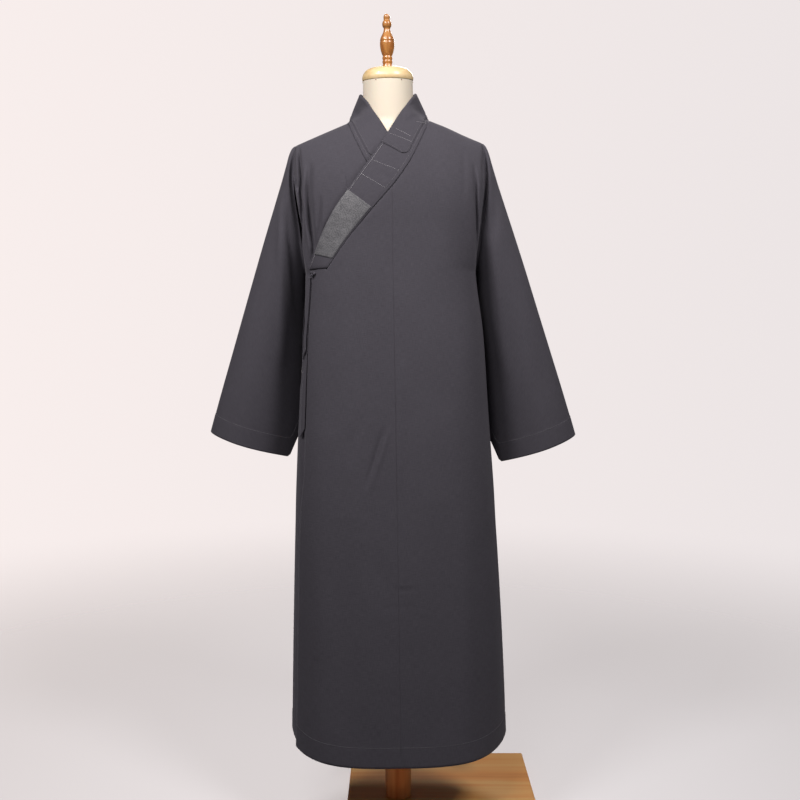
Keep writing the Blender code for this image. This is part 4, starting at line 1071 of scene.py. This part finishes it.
SLEEVE_FOLDS = {   # for each side and face
    (1, -1): (
        Fold(((204, 1470), (204, 1428), (203, 1384), (201, 1336), (199, 1290)), 4.5, -8.0, 0.0),
        Fold(((224, 1396), (226, 1330), (220, 1262)), 9.0, -2.5, -0.4),
        Fold(((212, 1240), (222, 1120), (232, 960)), 12.0, -1.5, 0.0),
        Fold(((214, 1276), (228, 1140), (246, 960)), 11.0, 6.0, 0.0),
        Fold(((246, 1260), (262, 1120), (284, 960)), 20.0, -3.0, 0.4),
        Fold(((276, 1180), (306, 1040), (336, 900)), 22.0, -1.8, 0.4),
    ),
    (-1, -1): (
        Fold(((-204, 1460), (-206, 1410), (-205, 1370)), 5.0, -5.0, 0.0),
        Fold(((-219, 1352), (-214, 1289), (-208, 1226), (-203, 1141), (-201, 1045)),
             8.0, -7.0, 0.0),
        Fold(((-214, 1230), (-222, 1110), (-230, 960)), 16.0, -2.5, 0.4),
        Fold(((-229, 1384), (-231, 1300), (-232, 1215), (-235, 1120), (-241, 1000)),
             8.5, 5.5, 0.0),
        Fold(((-262, 1180), (-286, 1030), (-304, 900)), 22.0, -2.2, -0.4),
    ),
    (1, 1): (
        Fold(((206, 1444), (208, 1370), (202, 1290)), 9.0, -5.0, 0.3),
        Fold(((216, 1250), (228, 1110), (240, 950)), 17.0, -5.0, -0.4),
        Fold(((256, 1230), (280, 1090), (306, 940)), 22.0, -3.0, 0.4),
    ),
    (-1, 1): (
        Fold(((-206, 1440), (-207, 1360), (-201, 1280)), 9.0, -5.0, -0.3),
        Fold(((-214, 1240), (-226, 1100), (-236, 950)), 17.0, -5.0, 0.4),
        Fold(((-258, 1210), (-284, 1070), (-310, 930)), 20.0, -2.8, -0.4),
    ),
}


def sleeve_point(side, number, face, turn):
    """Points of a sleeve's section: turn 0 is the outer fold, pi the underarm."""
    tilt = side * CUFF_TILT * (number / LAST_RING) ** 1.5
    outer_x = level(SLEEVE, 1, number)
    outer_z = level(SLEEVE, 2, number) - tilt
    inner_z = level(SLEEVE, 3, number) - tilt
    inner_gap = level(SLEEVE, 4, number)
    middle = level(SLEEVE, 6, number)
    inner_x = half_width(inner_z, side) + inner_gap
    first = middle * (1.0 - np.cos(turn))
    second = middle - (1.0 - middle) * np.cos(turn)
    along = np.where(turn <= math.pi / 2, first, second)
    z = outer_z + (inner_z - outer_z) * along
    straight_x = outer_x + (inner_x - outer_x) * along
    outer_gap = outer_x - half_width(outer_z)
    hugging_x = half_width(z) + outer_gap + (inner_gap - outer_gap) * along
    x = hugging_x + (straight_x - hugging_x) * eased(number / HUG_RINGS)
    before = along / CUFF_DIP_AT
    after = (1.0 - along) / (1.0 - CUFF_DIP_AT)
    weight = np.maximum(0.0, number - CUFF_DIP_FROM) / (LAST_RING - CUFF_DIP_FROM)
    dip = CUFF_DIP * weight ** 1.5 * np.maximum(0.0, np.minimum(before ** 0.85, after))
    z = z - np.where(face < 0, dip, 0.0)
    fall = 1.0 + (INNER_FALL - 1.0) * eased((number - 1.0) / 4.0) * (turn > math.pi / 2)
    y = face * level(SLEEVE, 5, number) * np.abs(np.sin(turn)) ** fall
    y = y + UNDERARM_BACK * eased(number / UNDERARM_RINGS) * eased(along * 1.4 - 0.4)
    return np.stack(np.broadcast_arrays(side * x, y, z), axis=-1)


rings = np.concatenate([np.linspace(0.0, CLOSE_RINGS, SLEEVE_RINGS[0] + 1)[:-1],
                        np.linspace(CLOSE_RINGS, LAST_RING, SLEEVE_RINGS[1])])
half_turns = np.linspace(0.0, math.pi, HALF_ROUND)
# once round: down the front to the underarm, and up the back
round_turns = np.concatenate([half_turns, half_turns[-2::-1]])[None, :]
round_faces = np.concatenate([-np.ones(HALF_ROUND), np.ones(HALF_ROUND - 1)])[None, :]
sleeves = {}
for side, name, node_name in ((1, "left_sleeve", "sleeve_left"),
                              (-1, "right_sleeve", "sleeve_right")):
    points = sleeve_point(side, rings[:, None], round_faces, round_turns)
    outward = (points - points.mean(axis=1, keepdims=True)) * (0.0, 1.0, 0.0)
    normals = grid_normals(points, outward)
    normals[:, -1] = normals[:, 0]
    to_cuff = np.linalg.norm(points[-1:] - points, axis=-1)
    relief = np.where(round_faces < 0, fold_relief(points, SLEEVE_FOLDS[side, -1]),
                      fold_relief(points, SLEEVE_FOLDS[side, 1]))
    relief *= np.sin(round_turns) ** 0.5 * eased(rings / CREASED_FROM)[:, None]
    relief *= eased(to_cuff / CUFF_CALM)
    relief += strip_relief(HEM_STRIP, CUFF_FOLD, to_cuff)
    points = points + normals * relief[..., None]
    sleeves[side] = Panel(points, normals, to_cuff)
    piece = cloth_shell(name, points, outward, charcoal)
    edit = bmesh.new()
    edit.from_mesh(piece.data)
    bmesh.ops.remove_doubles(edit, verts=edit.verts, dist=WELD)
    store(edit, piece.data)
    finish_piece(piece, [node_name])


# ---------------------------------------------------------------------------------------
# Collar: one long band of doubled cotton, 6 cm wide, sewn to the neckline from the tip
# under the right arm, round the neck, and down the lower front. Its free edge is
# topstitched. A second layer, the guard, covers it round the neck against wear.
# ---------------------------------------------------------------------------------------
BAND_WALL = 0.0024
BAND_RISE = 0.0010     # the doubled band stands this much proud of the fronts
BAND_EDGE = 0.0065     # width of the topstitched strip along the free edge
BAND_WIDTH = 0.062
BAND_STEPS = (122, 34, 100)   # rows of points: upper front, half the back, lower front
SEAM_LAP = 0.03        # share of the width by which the band lies over its seam
PIPING = 0.0052        # width of the strip along the seam, beside the guard
LAYER_ROWS = 4.0       # beside the neck it comes down to the body over this many rows
TIP_LIFT = 0.0006      # the tip stands up a little from the lap
TIP_ROWS = 2.0         # over this many rows
TIP_DIP = 0.0014       # but its very end is pressed down to it
TIP_DIP_ROWS = 0.12
PIPED_FROM_ROW = 4.6   # the strip along the seam comes up from here
PIPED_ROWS = 1.2       # over this many rows
COLLAR_TOP_RADIUS = 0.0588
GUARD_END_ROW = 6.86   # the guard ends at this row of COLLAR
GUARD_ROWS = 260
GUARD_FROM = 0.135     # share of the band's width left bare beside the guard
GUARD_CORNER = 0.013   # radius of the guard's rounded lower corner
GUARD_RISE = 0.0012
GUARD_WALL = 0.0011
ACROSS_STEPS = 31
STAND_ROW = 7          # above this row of COLLAR the band leaves the front
STAND_SHARES = np.array((0.0, 0.08, 0.20, 0.48, 0.76, 1.0))
EDGE_STRIP = Strip(0.0006, 0.0015, 0.0006, 0.0011, 0.0)
PIPED_STRIP = Strip(0.0007, 0.0015, 0.0007, 0.0011, 0.0)
EDGE_ROUND = (0.0030, 0.0020)   # how the free edge and the seam are rounded off: how much,
SEAM_ROUND = (0.0010, 0.0016)   # and over what width
COLLAR_FOLDS = (
    Fold(((-62, 1508), (-72, 1512), (-84, 1508)), 3.0, -1.3, 0.7),
    Fold(((36, 1500), (52, 1512), (66, 1520)), 6.0, -1.2, 0.5),
    Fold(((-44, 1530), (-50, 1548), (-56, 1566)), 7.0, -1.0, 0.4),
    Fold(((-28, 1400), (-6, 1384), (12, 1372)), 9.0, -0.7, 0.4),
)

# How deep the band's points lie at STAND_SHARES of its width, where it stands up.
row_shares = COLLAR[:, :2, None] + (COLLAR[:, 2:4] - COLLAR[:, :2])[..., None] * STAND_SHARES
row_depths = body_point(-1, *cloth_place(row_shares[:, 0], row_shares[:, 1]))[..., 1]
STAND_CURVE = np.column_stack([row_at, row_depths + stands[:, None] * STAND_SHARES ** 1.5])


def front_band(run, flip, shares):
    """Points across the band on a front, one row for each value of run. Low down it lies
    on the cloth; toward the neck it stands up from it."""
    seam_x, seam_z, edge_x, edge_z = (level(COLLAR_CURVE, i, run)[:, None] for i in range(1, 5))
    x = seam_x + (edge_x - seam_x) * shares
    z = seam_z + (edge_z - seam_z) * shares
    lying = body_point(-1, *cloth_place(x, z))[..., 1]
    standing = np.stack([level(STAND_CURVE, 1 + j, run) for j in range(len(STAND_SHARES))], axis=1)
    standing = np.stack([level(np.column_stack([STAND_SHARES, row]), 1, shares)
                         for row in standing])
    standing += (lying[:, :1] - standing[:, :1]) * (1.0 - shares) ** 2
    risen = eased((run - row_at[STAND_ROW]) / (row_at[STAND_ROW + 1] - row_at[STAND_ROW]))
    y = lying + (standing - lying) * risen[:, None]
    return np.stack([flip * x, y, z], axis=-1)


def back_band(run, flip, shares):
    """Points across the band behind the neck."""
    turn = level(BACK_CURVE, 3, run)
    seam = body_point(1, *cloth_place(level(BACK_CURVE, 1, run), level(BACK_CURVE, 2, run)))
    edge = np.stack([COLLAR_TOP_RADIUS * np.cos(turn), COLLAR_TOP_RADIUS * np.sin(turn),
                     level(BACK_CURVE, 4, run)], axis=-1)
    points = seam[:, None, :] + (edge - seam)[:, None, :] * shares[None, :, None]
    return points * (flip, 1.0, 1.0)


def outward_of_neck(points):
    """Away from the column's axis, and a little up."""
    return points * (1.0, 1.0, 0.0) + (0.0, 0.0, 0.02)


across = np.linspace(-SEAM_LAP, 1.0, ACROSS_STEPS)
over_run = np.linspace(0.0, row_at[-1], BAND_STEPS[0])
round_run = np.linspace(0.0, back_at[-1], BAND_STEPS[1])
under_run = np.linspace(row_at[-1], row_at[UNDER_END_ROW], BAND_STEPS[2])
over_band = front_band(over_run, 1.0, across)
neck_band = np.concatenate([back_band(round_run, 1.0, across),
                            back_band(round_run[::-1], -1.0, across)[1:]])
under_band = front_band(under_run, -1.0, across)
flat_band = np.concatenate([over_band, neck_band[1:], under_band[1:]])
past_over = len(flat_band) - len(over_band)
row_number = np.concatenate([np.interp(over_run, row_at, np.arange(len(row_at))),
                             np.full(past_over, len(COLLAR) - 1.0)])
upper_side = np.arange(len(flat_band)) < len(over_band)
layer = np.where(upper_side, LAYER * eased((len(COLLAR) - 1 - row_number) / LAYER_ROWS)
                 + TIP_LIFT * eased((TIP_ROWS - row_number) / TIP_ROWS), 0.0)
band_normals = grid_normals(flat_band, outward_of_neck(flat_band))


def band_relief(shares, piped):
    """Topstitched strips along both edges of the band. piped: 1 where the guard leaves the
    strip along the seam bare."""
    to_edge = (1.0 - shares) * BAND_WIDTH
    from_seam = shares * BAND_WIDTH
    relief = strip_relief(EDGE_STRIP, BAND_EDGE, to_edge)
    relief -= EDGE_ROUND[0] * np.exp(-(to_edge / EDGE_ROUND[1]) ** 2)
    relief -= SEAM_ROUND[0] * np.exp(-(from_seam / SEAM_ROUND[1]) ** 2)
    return relief + piped * strip_relief(PIPED_STRIP, PIPING, from_seam)


near_neck = eased((row_number - PIPED_FROM_ROW) / PIPED_ROWS)
relief = band_relief(across[None, :], near_neck[:, None])
relief += fold_relief(flat_band, COLLAR_FOLDS) * np.sin(math.pi * np.abs(across)) ** 0.5
relief += fold_relief(flat_band, (BAND_HOLLOW,)) * ~upper_side[:, None]
relief -= TIP_DIP * np.exp(-(row_number / TIP_DIP_ROWS) ** 2)[:, None]
lift = layer + BAND_RISE
points = flat_band + band_normals * (lift[:, None] + relief)[..., None]
band = Panel(points, band_normals, None)
piece = cloth_shell("collar_band", points, outward_of_neck(points), charcoal, BAND_WALL)
finish_piece(piece, ["collar_over", "collar_back", "collar_under"])


def read_grid(table, rows, columns):
    """A grid of points read at places counted in its rows and columns."""
    rows, columns = np.broadcast_arrays(rows, columns)
    top = np.clip(np.floor(rows).astype(int), 0, table.shape[0] - 2)
    left = np.clip(np.floor(columns).astype(int), 0, table.shape[1] - 2)
    down = (rows - top)[..., None]
    aside = (columns - left)[..., None]
    upper = table[top, left] * (1 - aside) + table[top, left + 1] * aside
    lower = table[top + 1, left] * (1 - aside) + table[top + 1, left + 1] * aside
    return upper * (1 - down) + lower * down


def band_column(shares):
    """Shares of the band's width as places counted in its columns of points."""
    return (shares + SEAM_LAP) / (1.0 + SEAM_LAP) * (ACROSS_STEPS - 1)


def band_place(row):
    """A row of COLLAR as a place along the band, counted in its rows of points."""
    at = np.interp(row, np.arange(len(row_at)), row_at)
    return float(np.interp(at, over_run, np.arange(len(over_run))))


def band_patch(start, end, shares, rows, rise):
    """A piece on the band between two places along it, which may differ across it."""
    along = start + (end - start) * np.linspace(0.0, 1.0, rows)[:, None]
    columns = band_column(shares)
    normal = read_grid(band.normals, along, columns)
    return read_grid(band.points, along, columns) + normal * rise, normal


guard_at = np.interp(GUARD_END_ROW, np.arange(len(row_at)), row_at)
guard_start = band_place(GUARD_END_ROW)
guard_stop = len(over_band) + len(neck_band) - 2 + float(np.interp(
    -guard_at, -under_run, np.arange(len(under_run))))
guard_shares = GUARD_FROM + np.concatenate([
    [0.0, 0.006], np.linspace(0.02, 0.22, 12), np.linspace(0.25, 0.985 - GUARD_FROM, 17),
    [0.992 - GUARD_FROM]])
from_border = (guard_shares - GUARD_FROM) * BAND_WIDTH
inside_corner = np.clip(GUARD_CORNER - from_border, 0.0, GUARD_CORNER)
corner = GUARD_CORNER - np.sqrt(GUARD_CORNER ** 2 - inside_corner ** 2)
rows_per_metre = (len(over_run) - 1) / row_at[-1]   # of the band's points
corner *= rows_per_metre
points, normals = band_patch(guard_start + corner, guard_stop - corner, guard_shares,
                             GUARD_ROWS, GUARD_RISE)
piece = cloth_shell("collar_guard_cloth", points, normals, charcoal, GUARD_WALL)
finish_piece(piece, ["collar_guard"])


# ---------------------------------------------------------------------------------------
# Brocade patch: a piece of silver-grey figured silk laid over the band above its tip, its
# edges turned under and sewn down. A generic small diaper of the weaver's stock.
# ---------------------------------------------------------------------------------------
BROCADE_FIRST_ROW = 1.0   # between these rows of COLLAR
BROCADE_LAST_ROW = 4.0
BROCADE_RISE = 0.0007
BROCADE_POINTS = 60

# Silk warp over a grey ground: the figure shines a little, the ground is matt.
brocade, tree, shader = new_material("silver_grey_figured_silk", {
    "Specular IOR Level": 0.4, "Sheen Weight": 0.3, "Sheen Roughness": 0.3})
place = add_node(tree, "ShaderNodeTexCoord", {}, {}).outputs["UV"]
# figure 3 mm from centre to centre
figure = add_node(tree, "ShaderNodeTexVoronoi", {"voronoi_dimensions": "2D"}, {
    "Vector": place, "Scale": 310.0, "Randomness": 0.75})
clouds = add_node(tree, "ShaderNodeTexNoise", {"noise_dimensions": "2D"}, {
    "Vector": place, "Scale": 75.0, "Detail": 2.0})
twill = add_node(tree, "ShaderNodeTexNoise", {"noise_dimensions": "2D"}, {
    "Vector": place, "Scale": 450.0, "Detail": 2.0})
share = add_node(tree, "ShaderNodeMapRange", {}, {
    "Value": figure.outputs["Distance"], "From Min": 0.15, "From Max": 0.55})
woven = add_node(tree, "ShaderNodeMath", {"operation": "MULTIPLY_ADD"}, {
    0: twill.outputs["Fac"], 1: 1.6, 2: clouds.outputs["Fac"]})
mixed = add_node(tree, "ShaderNodeMath", {"operation": "MULTIPLY_ADD"}, {
    0: share.outputs[0], 1: 0.6, 2: woven.outputs[0]})
half = add_node(tree, "ShaderNodeMapRange", {}, {
    "Value": mixed.outputs[0], "From Min": 1.05, "From Max": 2.15})
tone = add_node(tree, "ShaderNodeMix", {"data_type": "RGBA"}, {
    0: half.outputs[0], 6: linear("#424247"), 7: linear("#656569")})
tree.links.new(tone.outputs[2], shader.inputs["Base Color"])
gloss = add_node(tree, "ShaderNodeMapRange", {}, {
    "Value": half.outputs[0], "To Min": 0.75, "To Max": 0.48})
tree.links.new(gloss.outputs[0], shader.inputs["Roughness"])
relief = add_node(tree, "ShaderNodeBump", {}, {
    "Strength": 0.5, "Distance": 0.0004, "Height": half.outputs[0]})
tree.links.new(relief.outputs["Normal"], shader.inputs["Normal"])

patch_shares = np.concatenate([[0.012, 0.02], np.linspace(0.04, 0.96, 24), [0.98, 0.988]])
points, normals = band_patch(band_place(BROCADE_FIRST_ROW), band_place(BROCADE_LAST_ROW),
                             patch_shares, BROCADE_POINTS, BROCADE_RISE)
piece = cloth_shell("brocade", points, normals, brocade, BROCADE_RISE)
finish_piece(piece, ["brocade_patch"])


# ---------------------------------------------------------------------------------------
# Ties: two narrow straps of the same cotton, folded and edge-stitched, knotted together
# at the collar's tip. They hang down the side, just behind the lap's free edge.
# ---------------------------------------------------------------------------------------
KNOT_K = -0.838        # the knot's place: share of the half width, and height
KNOT_Z = 1.191
KNOT_REST = 0.0050     # from the lap's cloth to the knot's middle
KNOT_SIZE = (0.0016, 0.0016, 0.0013)   # a third of its width, depth and height
KNOT_CORD = 0.0020     # radius of a strap rolled up
KNOT_FLAT = 0.75       # pressed to this share of it
KNOT_STEPS = (96, 12)  # points along the loops and round the cord
STRAP_TOP_Z = 1.186
STRAP_TOP_K = -0.900
STRAP_BOTTOM_K = -0.908
STRAP_WIDTH = 0.018
STRAP_HALF_K = 0.024   # half of it as a share of the body's half width, at its side
STRAP_ROW = 0.004      # length of strap between rows of points
STRAP_COLUMNS = 9
STRAP_SLANT = 0.9      # the end is cut on the slant from this share of its length
STRAP_CURL = 0.0006    # its edges stand up by this much
STRAP_WALL = 0.0018
STRAP_LIFT = 0.0028
SHORT_OVER_LONG = 2.3  # the short strap lies over the long one, lifted this many times more
PINCH = 0.008          # below the knot the outer edge of a strap is turned in by this much
PINCH_FROM = 0.10      # the pinch opens out from here down
PINCH_RUN = 0.16       # over this length
LONG_LENGTH = 0.3264
SHORT_LENGTH = LONG_LENGTH / 2


def strap(length, lift, sway):
    """A flat strap hanging at the side. sway: how far it bends in and out on its way."""
    share = np.linspace(0.0, 1.0, int(length / STRAP_ROW))[:, None]
    side = np.linspace(-0.5, 0.5, STRAP_COLUMNS)[None, :]
    slant = eased((share - STRAP_SLANT) / (1.0 - STRAP_SLANT))
    z = STRAP_TOP_Z - share * length + side * STRAP_WIDTH * slant
    middle = STRAP_TOP_K + (STRAP_BOTTOM_K - STRAP_TOP_K) * share * length / LONG_LENGTH
    k = middle + 2 * side * STRAP_HALF_K
    wave = sway * np.sin(share * 9.0 + 0.6) * eased(share / 0.2)
    pinched = 1.0 - eased((share * length - PINCH_FROM) / PINCH_RUN)
    lift = lift + wave + STRAP_CURL * (2 * side) ** 2
    lift = lift - PINCH * pinched * np.maximum(-2 * side, 0.0) ** 1.5
    return lifted(-1, np.maximum(k, -0.995), cloth_down_to(z), lift)


for name, node_name, length, lift, sway in (
        ("long_tie", "tie_strap_long", LONG_LENGTH, STRAP_LIFT, 0.0005),
        ("short_tie", "tie_strap_short", SHORT_LENGTH, SHORT_OVER_LONG * STRAP_LIFT, 0.0007)):
    points = strap(length, lift, sway)
    piece = cloth_shell(name, points, grid_normals(points, points * (1.0, 1.0, 0.0)), charcoal,
                        STRAP_WALL)
    finish_piece(piece, [node_name])

# The knot: the two straps rolled into a cord and tied in three crossing loops.
turns = np.linspace(0.0, 2 * math.pi, KNOT_STEPS[0] + 1)[:-1]
loops = np.stack([np.sin(turns) + 2 * np.sin(2 * turns), -np.sin(3 * turns) * 1.1,
                  np.cos(turns) - 2 * np.cos(2 * turns)], axis=-1) * KNOT_SIZE
ahead = np.roll(loops, -1, axis=0) - np.roll(loops, 1, axis=0)
ahead /= np.linalg.norm(ahead, axis=1, keepdims=True)
beside = np.cross(ahead, (0.0, 1.0, 0.3))
beside /= np.linalg.norm(beside, axis=1, keepdims=True)
above = np.cross(beside, ahead)
ring = np.linspace(0.0, 2 * math.pi, KNOT_STEPS[1] + 1)[:-1, None]
knot_centre = lifted(-1, np.array(KNOT_K), np.array(cloth_down_to(KNOT_Z)),
                     np.array(LAYER + KNOT_REST))
tube = (knot_centre + loops[:, None] + beside[:, None] * np.cos(ring) * KNOT_CORD
        + above[:, None] * np.sin(ring) * KNOT_CORD * KNOT_FLAT)
index = np.arange(tube.shape[0] * tube.shape[1]).reshape(tube.shape[:2])
onward = np.roll(index, -1, axis=0)
faces = np.stack([index, np.roll(index, -1, axis=1), np.roll(onward, -1, axis=1), onward],
                 axis=-1)
knot_mesh = bpy.data.meshes.new("cloth_knot")
knot_mesh.from_pydata(leaned(tube).reshape(-1, 3).tolist(), [], faces.reshape(-1, 4).tolist())
edit = bmesh.new()
edit.from_mesh(knot_mesh)
bmesh.ops.recalc_face_normals(edit, faces=edit.faces)
store(edit, knot_mesh)
knot_mesh.shade_smooth()
knot_mesh.uv_layers.new(name="cloth")
knot = new_object("cloth_knot", knot_mesh, charcoal)
finish_piece(knot, ["tie_knot"])


# ---------------------------------------------------------------------------------------
# Stitches: grey thread, hand-guided lockstitch. It closes the hem, the cuffs and the
# slits, runs beside both edges of the collar and round the guard, and crosses the band
# in short rows that hold its layers together.
# ---------------------------------------------------------------------------------------
STITCH_SPACING = 0.0036
STITCH_LENGTH = 0.0032
THREAD_RADIUS = 0.00045   # real thread is a third as thick; drawn so that it can show
STITCH_LIFT = 0.0002
GUARD_LIFT = GUARD_RISE + STITCH_LIFT
HEM_STITCH = 0.002        # a hem is sewn this far below its turned-in edge
SLIT_STITCH = 0.006       # and a slit this far from its edge
SLIT_STITCH_END = 0.003   # down to this far above the hem
EDGE_STITCH = 0.0012      # the collar's strips, this far inside their width
GUARD_STITCH = 0.0030     # and the guard, this far inside its edge

# Spun polyester thread: the dark one, for the seams, is all but the cotton's own shade.
dark_thread, _, _ = new_material("dark_grey_sewing_thread", {
    "Base Color": linear("#545259"), "Roughness": 0.55, "Sheen Weight": 0.2})
# The lighter one, for the rows across the collar and its free edge.
light_thread, _, _ = new_material("pale_grey_sewing_thread", {
    "Base Color": linear("#9A989E"), "Roughness": 0.55, "Sheen Weight": 0.2})


def grid_line(grid, rows, columns, lift=STITCH_LIFT):
    """A line of points on a panel, at places counted in its rows and columns."""
    return read_grid(grid.points + grid.normals * lift, rows, columns)


def line_above_hem(grid, height, first=0, last=None):
    """A line across a panel at one height above its hem, between two columns."""
    columns = np.arange(grid.to_hem.shape[1])[first:last]
    rows = [np.interp(-height, -grid.to_hem[:, column], np.arange(len(grid.to_hem)))
            for column in columns]
    return grid_line(grid, np.array(rows), columns)


def line_down_side(grid, column, inner):
    """A line down a panel beside its edge column, from the slit's top to the hem. inner: a
    column further in, towards which the line is set off."""
    column %= grid.to_hem.shape[1]
    inner %= grid.to_hem.shape[1]
    below_top = grid.points[:, column, 2] < SLIT_Z
    rows = np.flatnonzero(below_top & (grid.to_hem[:, column] > SLIT_STITCH_END))
    gap = np.linalg.norm(grid.points[rows, column] - grid.points[rows, inner], axis=-1)
    return grid_line(grid, rows, column + (inner - column) * SLIT_STITCH / gap)


def band_line(start, stop, from_share, to_share, count, lift=STITCH_LIFT):
    """A line of count points on the band, from one place along it to another."""
    return grid_line(band, np.linspace(start, stop, count),
                     band_column(np.linspace(from_share, to_share, count)), lift)


def guard_line(inset):
    """A line round the guard, just inside its border and its rounded corner."""
    share = GUARD_FROM + inset / BAND_WIDTH
    rows_in = inset * rows_per_metre
    radius = GUARD_CORNER - inset
    turn = np.linspace(0.0, math.pi / 2, 12)
    bend_share = share + (radius * (1.0 - np.cos(turn))) / BAND_WIDTH
    bend_row = guard_start + rows_in + radius * (1.0 - np.sin(turn)) * rows_per_metre
    first = band_line(guard_start + rows_in, guard_start + rows_in, 0.97, bend_share[-1], 14,
                      GUARD_LIFT)
    bend = grid_line(band, bend_row[::-1], band_column(bend_share[::-1]), GUARD_LIFT)
    rest = band_line(bend_row[0], guard_stop, share, share, 220, GUARD_LIFT)
    return np.concatenate([first, bend[1:], rest[1:]])


edge_share = 1.0 - (BAND_EDGE - EDGE_STITCH) / BAND_WIDTH
seam_share = (PIPING - EDGE_STITCH) / BAND_WIDTH
plain_lines = [line_above_hem(grid, HEM_FOLD - HEM_STITCH, first, last)
               for grid, first, last in ((front_left, 1, None), (front_lap, 0, -1),
                                         (backs[1], 1, None), (backs[-1], 1, None),
                                         (front_right, 0, None))]
plain_lines += [line_above_hem(sleeves[side], CUFF_FOLD - HEM_STITCH) for side in (1, -1)]
plain_lines += [line_down_side(grid, column, inner)
                for grid, column, inner in ((front_left, -1, -4), (front_right, 0, 3),
                                            (front_lap, 0, 2), (backs[1], -1, -4),
                                            (backs[-1], -1, -4))]
plain_lines += [
    band_line(band_place(4.8), len(band.points) - 1, seam_share, seam_share, 320),
    guard_line(GUARD_STITCH),
]
light_lines = [band_line(2.0, guard_start, edge_share, edge_share, 120)]
# Rows of stitches across the band: row of COLLAR and share of the width at the seam's end,
# then at the free edge's.
for seam_row, seam_end, edge_row, edge_end in (
        (4.77, 0.09, 4.77, 0.89), (6.00, 0.09, 5.85, 0.89), (7.75, 0.20, 7.50, 0.89),
        (8.06, 0.32, 7.95, 0.80), (10.0, 0.04, 9.55, 0.34)):
    lift = GUARD_LIFT if seam_row > GUARD_END_ROW else STITCH_LIFT
    light_lines.append(band_line(band_place(seam_row), band_place(edge_row), seam_end,
                                 edge_end, 18, lift))


def sewn(name, paths, finish):
    """Stitches along lines of points, each a small rounded bar half sunk in the cloth."""
    starts = np.cumsum([0] + [len(path) for path in paths])
    edges = [(start + i, start + i + 1) for start, path in zip(starts, paths)
             for i in range(len(path) - 1)]
    mesh = bpy.data.meshes.new(name)
    mesh.from_pydata(leaned(np.concatenate(paths)).tolist(), edges, [])
    piece = add_object(name, mesh)
    tree = bpy.data.node_groups.new("row_of_stitches", "GeometryNodeTree")
    tree.interface.new_socket("Geometry", in_out="INPUT", socket_type="NodeSocketGeometry")
    sizes = {}
    for label, value in (("Spacing", STITCH_SPACING), ("Stitch length", STITCH_LENGTH),
                         ("Thread radius", THREAD_RADIUS)):
        socket = tree.interface.new_socket(label, in_out="INPUT", socket_type="NodeSocketFloat")
        sizes[socket.identifier] = value
    tree.interface.new_socket("Geometry", in_out="OUTPUT", socket_type="NodeSocketGeometry")
    given = tree.nodes.new("NodeGroupInput").outputs
    curves = add_node(tree, "GeometryNodeMeshToCurve", {}, {"Mesh": given["Geometry"]})
    spaced = add_node(tree, "GeometryNodeResampleCurve", {"mode": "LENGTH"}, {
        "Curve": curves.outputs[0], "Length": given["Spacing"]})
    heading = add_node(tree, "GeometryNodeInputTangent", {}, {})
    along = add_node(tree, "FunctionNodeAlignRotationToVector", {"axis": "X"}, {
        "Vector": heading.outputs[0]})
    bar = add_node(tree, "GeometryNodeMeshUVSphere", {}, {
        "Segments": 6, "Rings": 4, "Radius": 1.0})
    half = add_node(tree, "ShaderNodeMath", {"operation": "MULTIPLY"}, {
        0: given["Stitch length"], 1: 0.5})
    size = add_node(tree, "ShaderNodeCombineXYZ", {}, {
        "X": half.outputs[0], "Y": given["Thread radius"], "Z": given["Thread radius"]})
    placed = add_node(tree, "GeometryNodeInstanceOnPoints", {}, {
        "Points": spaced.outputs[0], "Instance": bar.outputs["Mesh"],
        "Rotation": along.outputs[0], "Scale": size.outputs[0]})
    real = add_node(tree, "GeometryNodeRealizeInstances", {}, {"Geometry": placed.outputs[0]})
    painted = add_node(tree, "GeometryNodeSetMaterial", {}, {
        "Geometry": real.outputs[0], "Material": finish})
    add_node(tree, "NodeGroupOutput", {}, {"Geometry": painted.outputs[0]})
    row = piece.modifiers.new("stitches", "NODES")
    row.node_group = tree
    for identifier, value in sizes.items():
        row[identifier] = value
    plain_mesh(piece)
    piece.data.shade_smooth()
    return piece


for name, paths, finish in (("seam_stitches", plain_lines, dark_thread),
                            ("collar_stitches", light_lines, light_thread)):
    finish_piece(sewn(name, paths, finish), [])
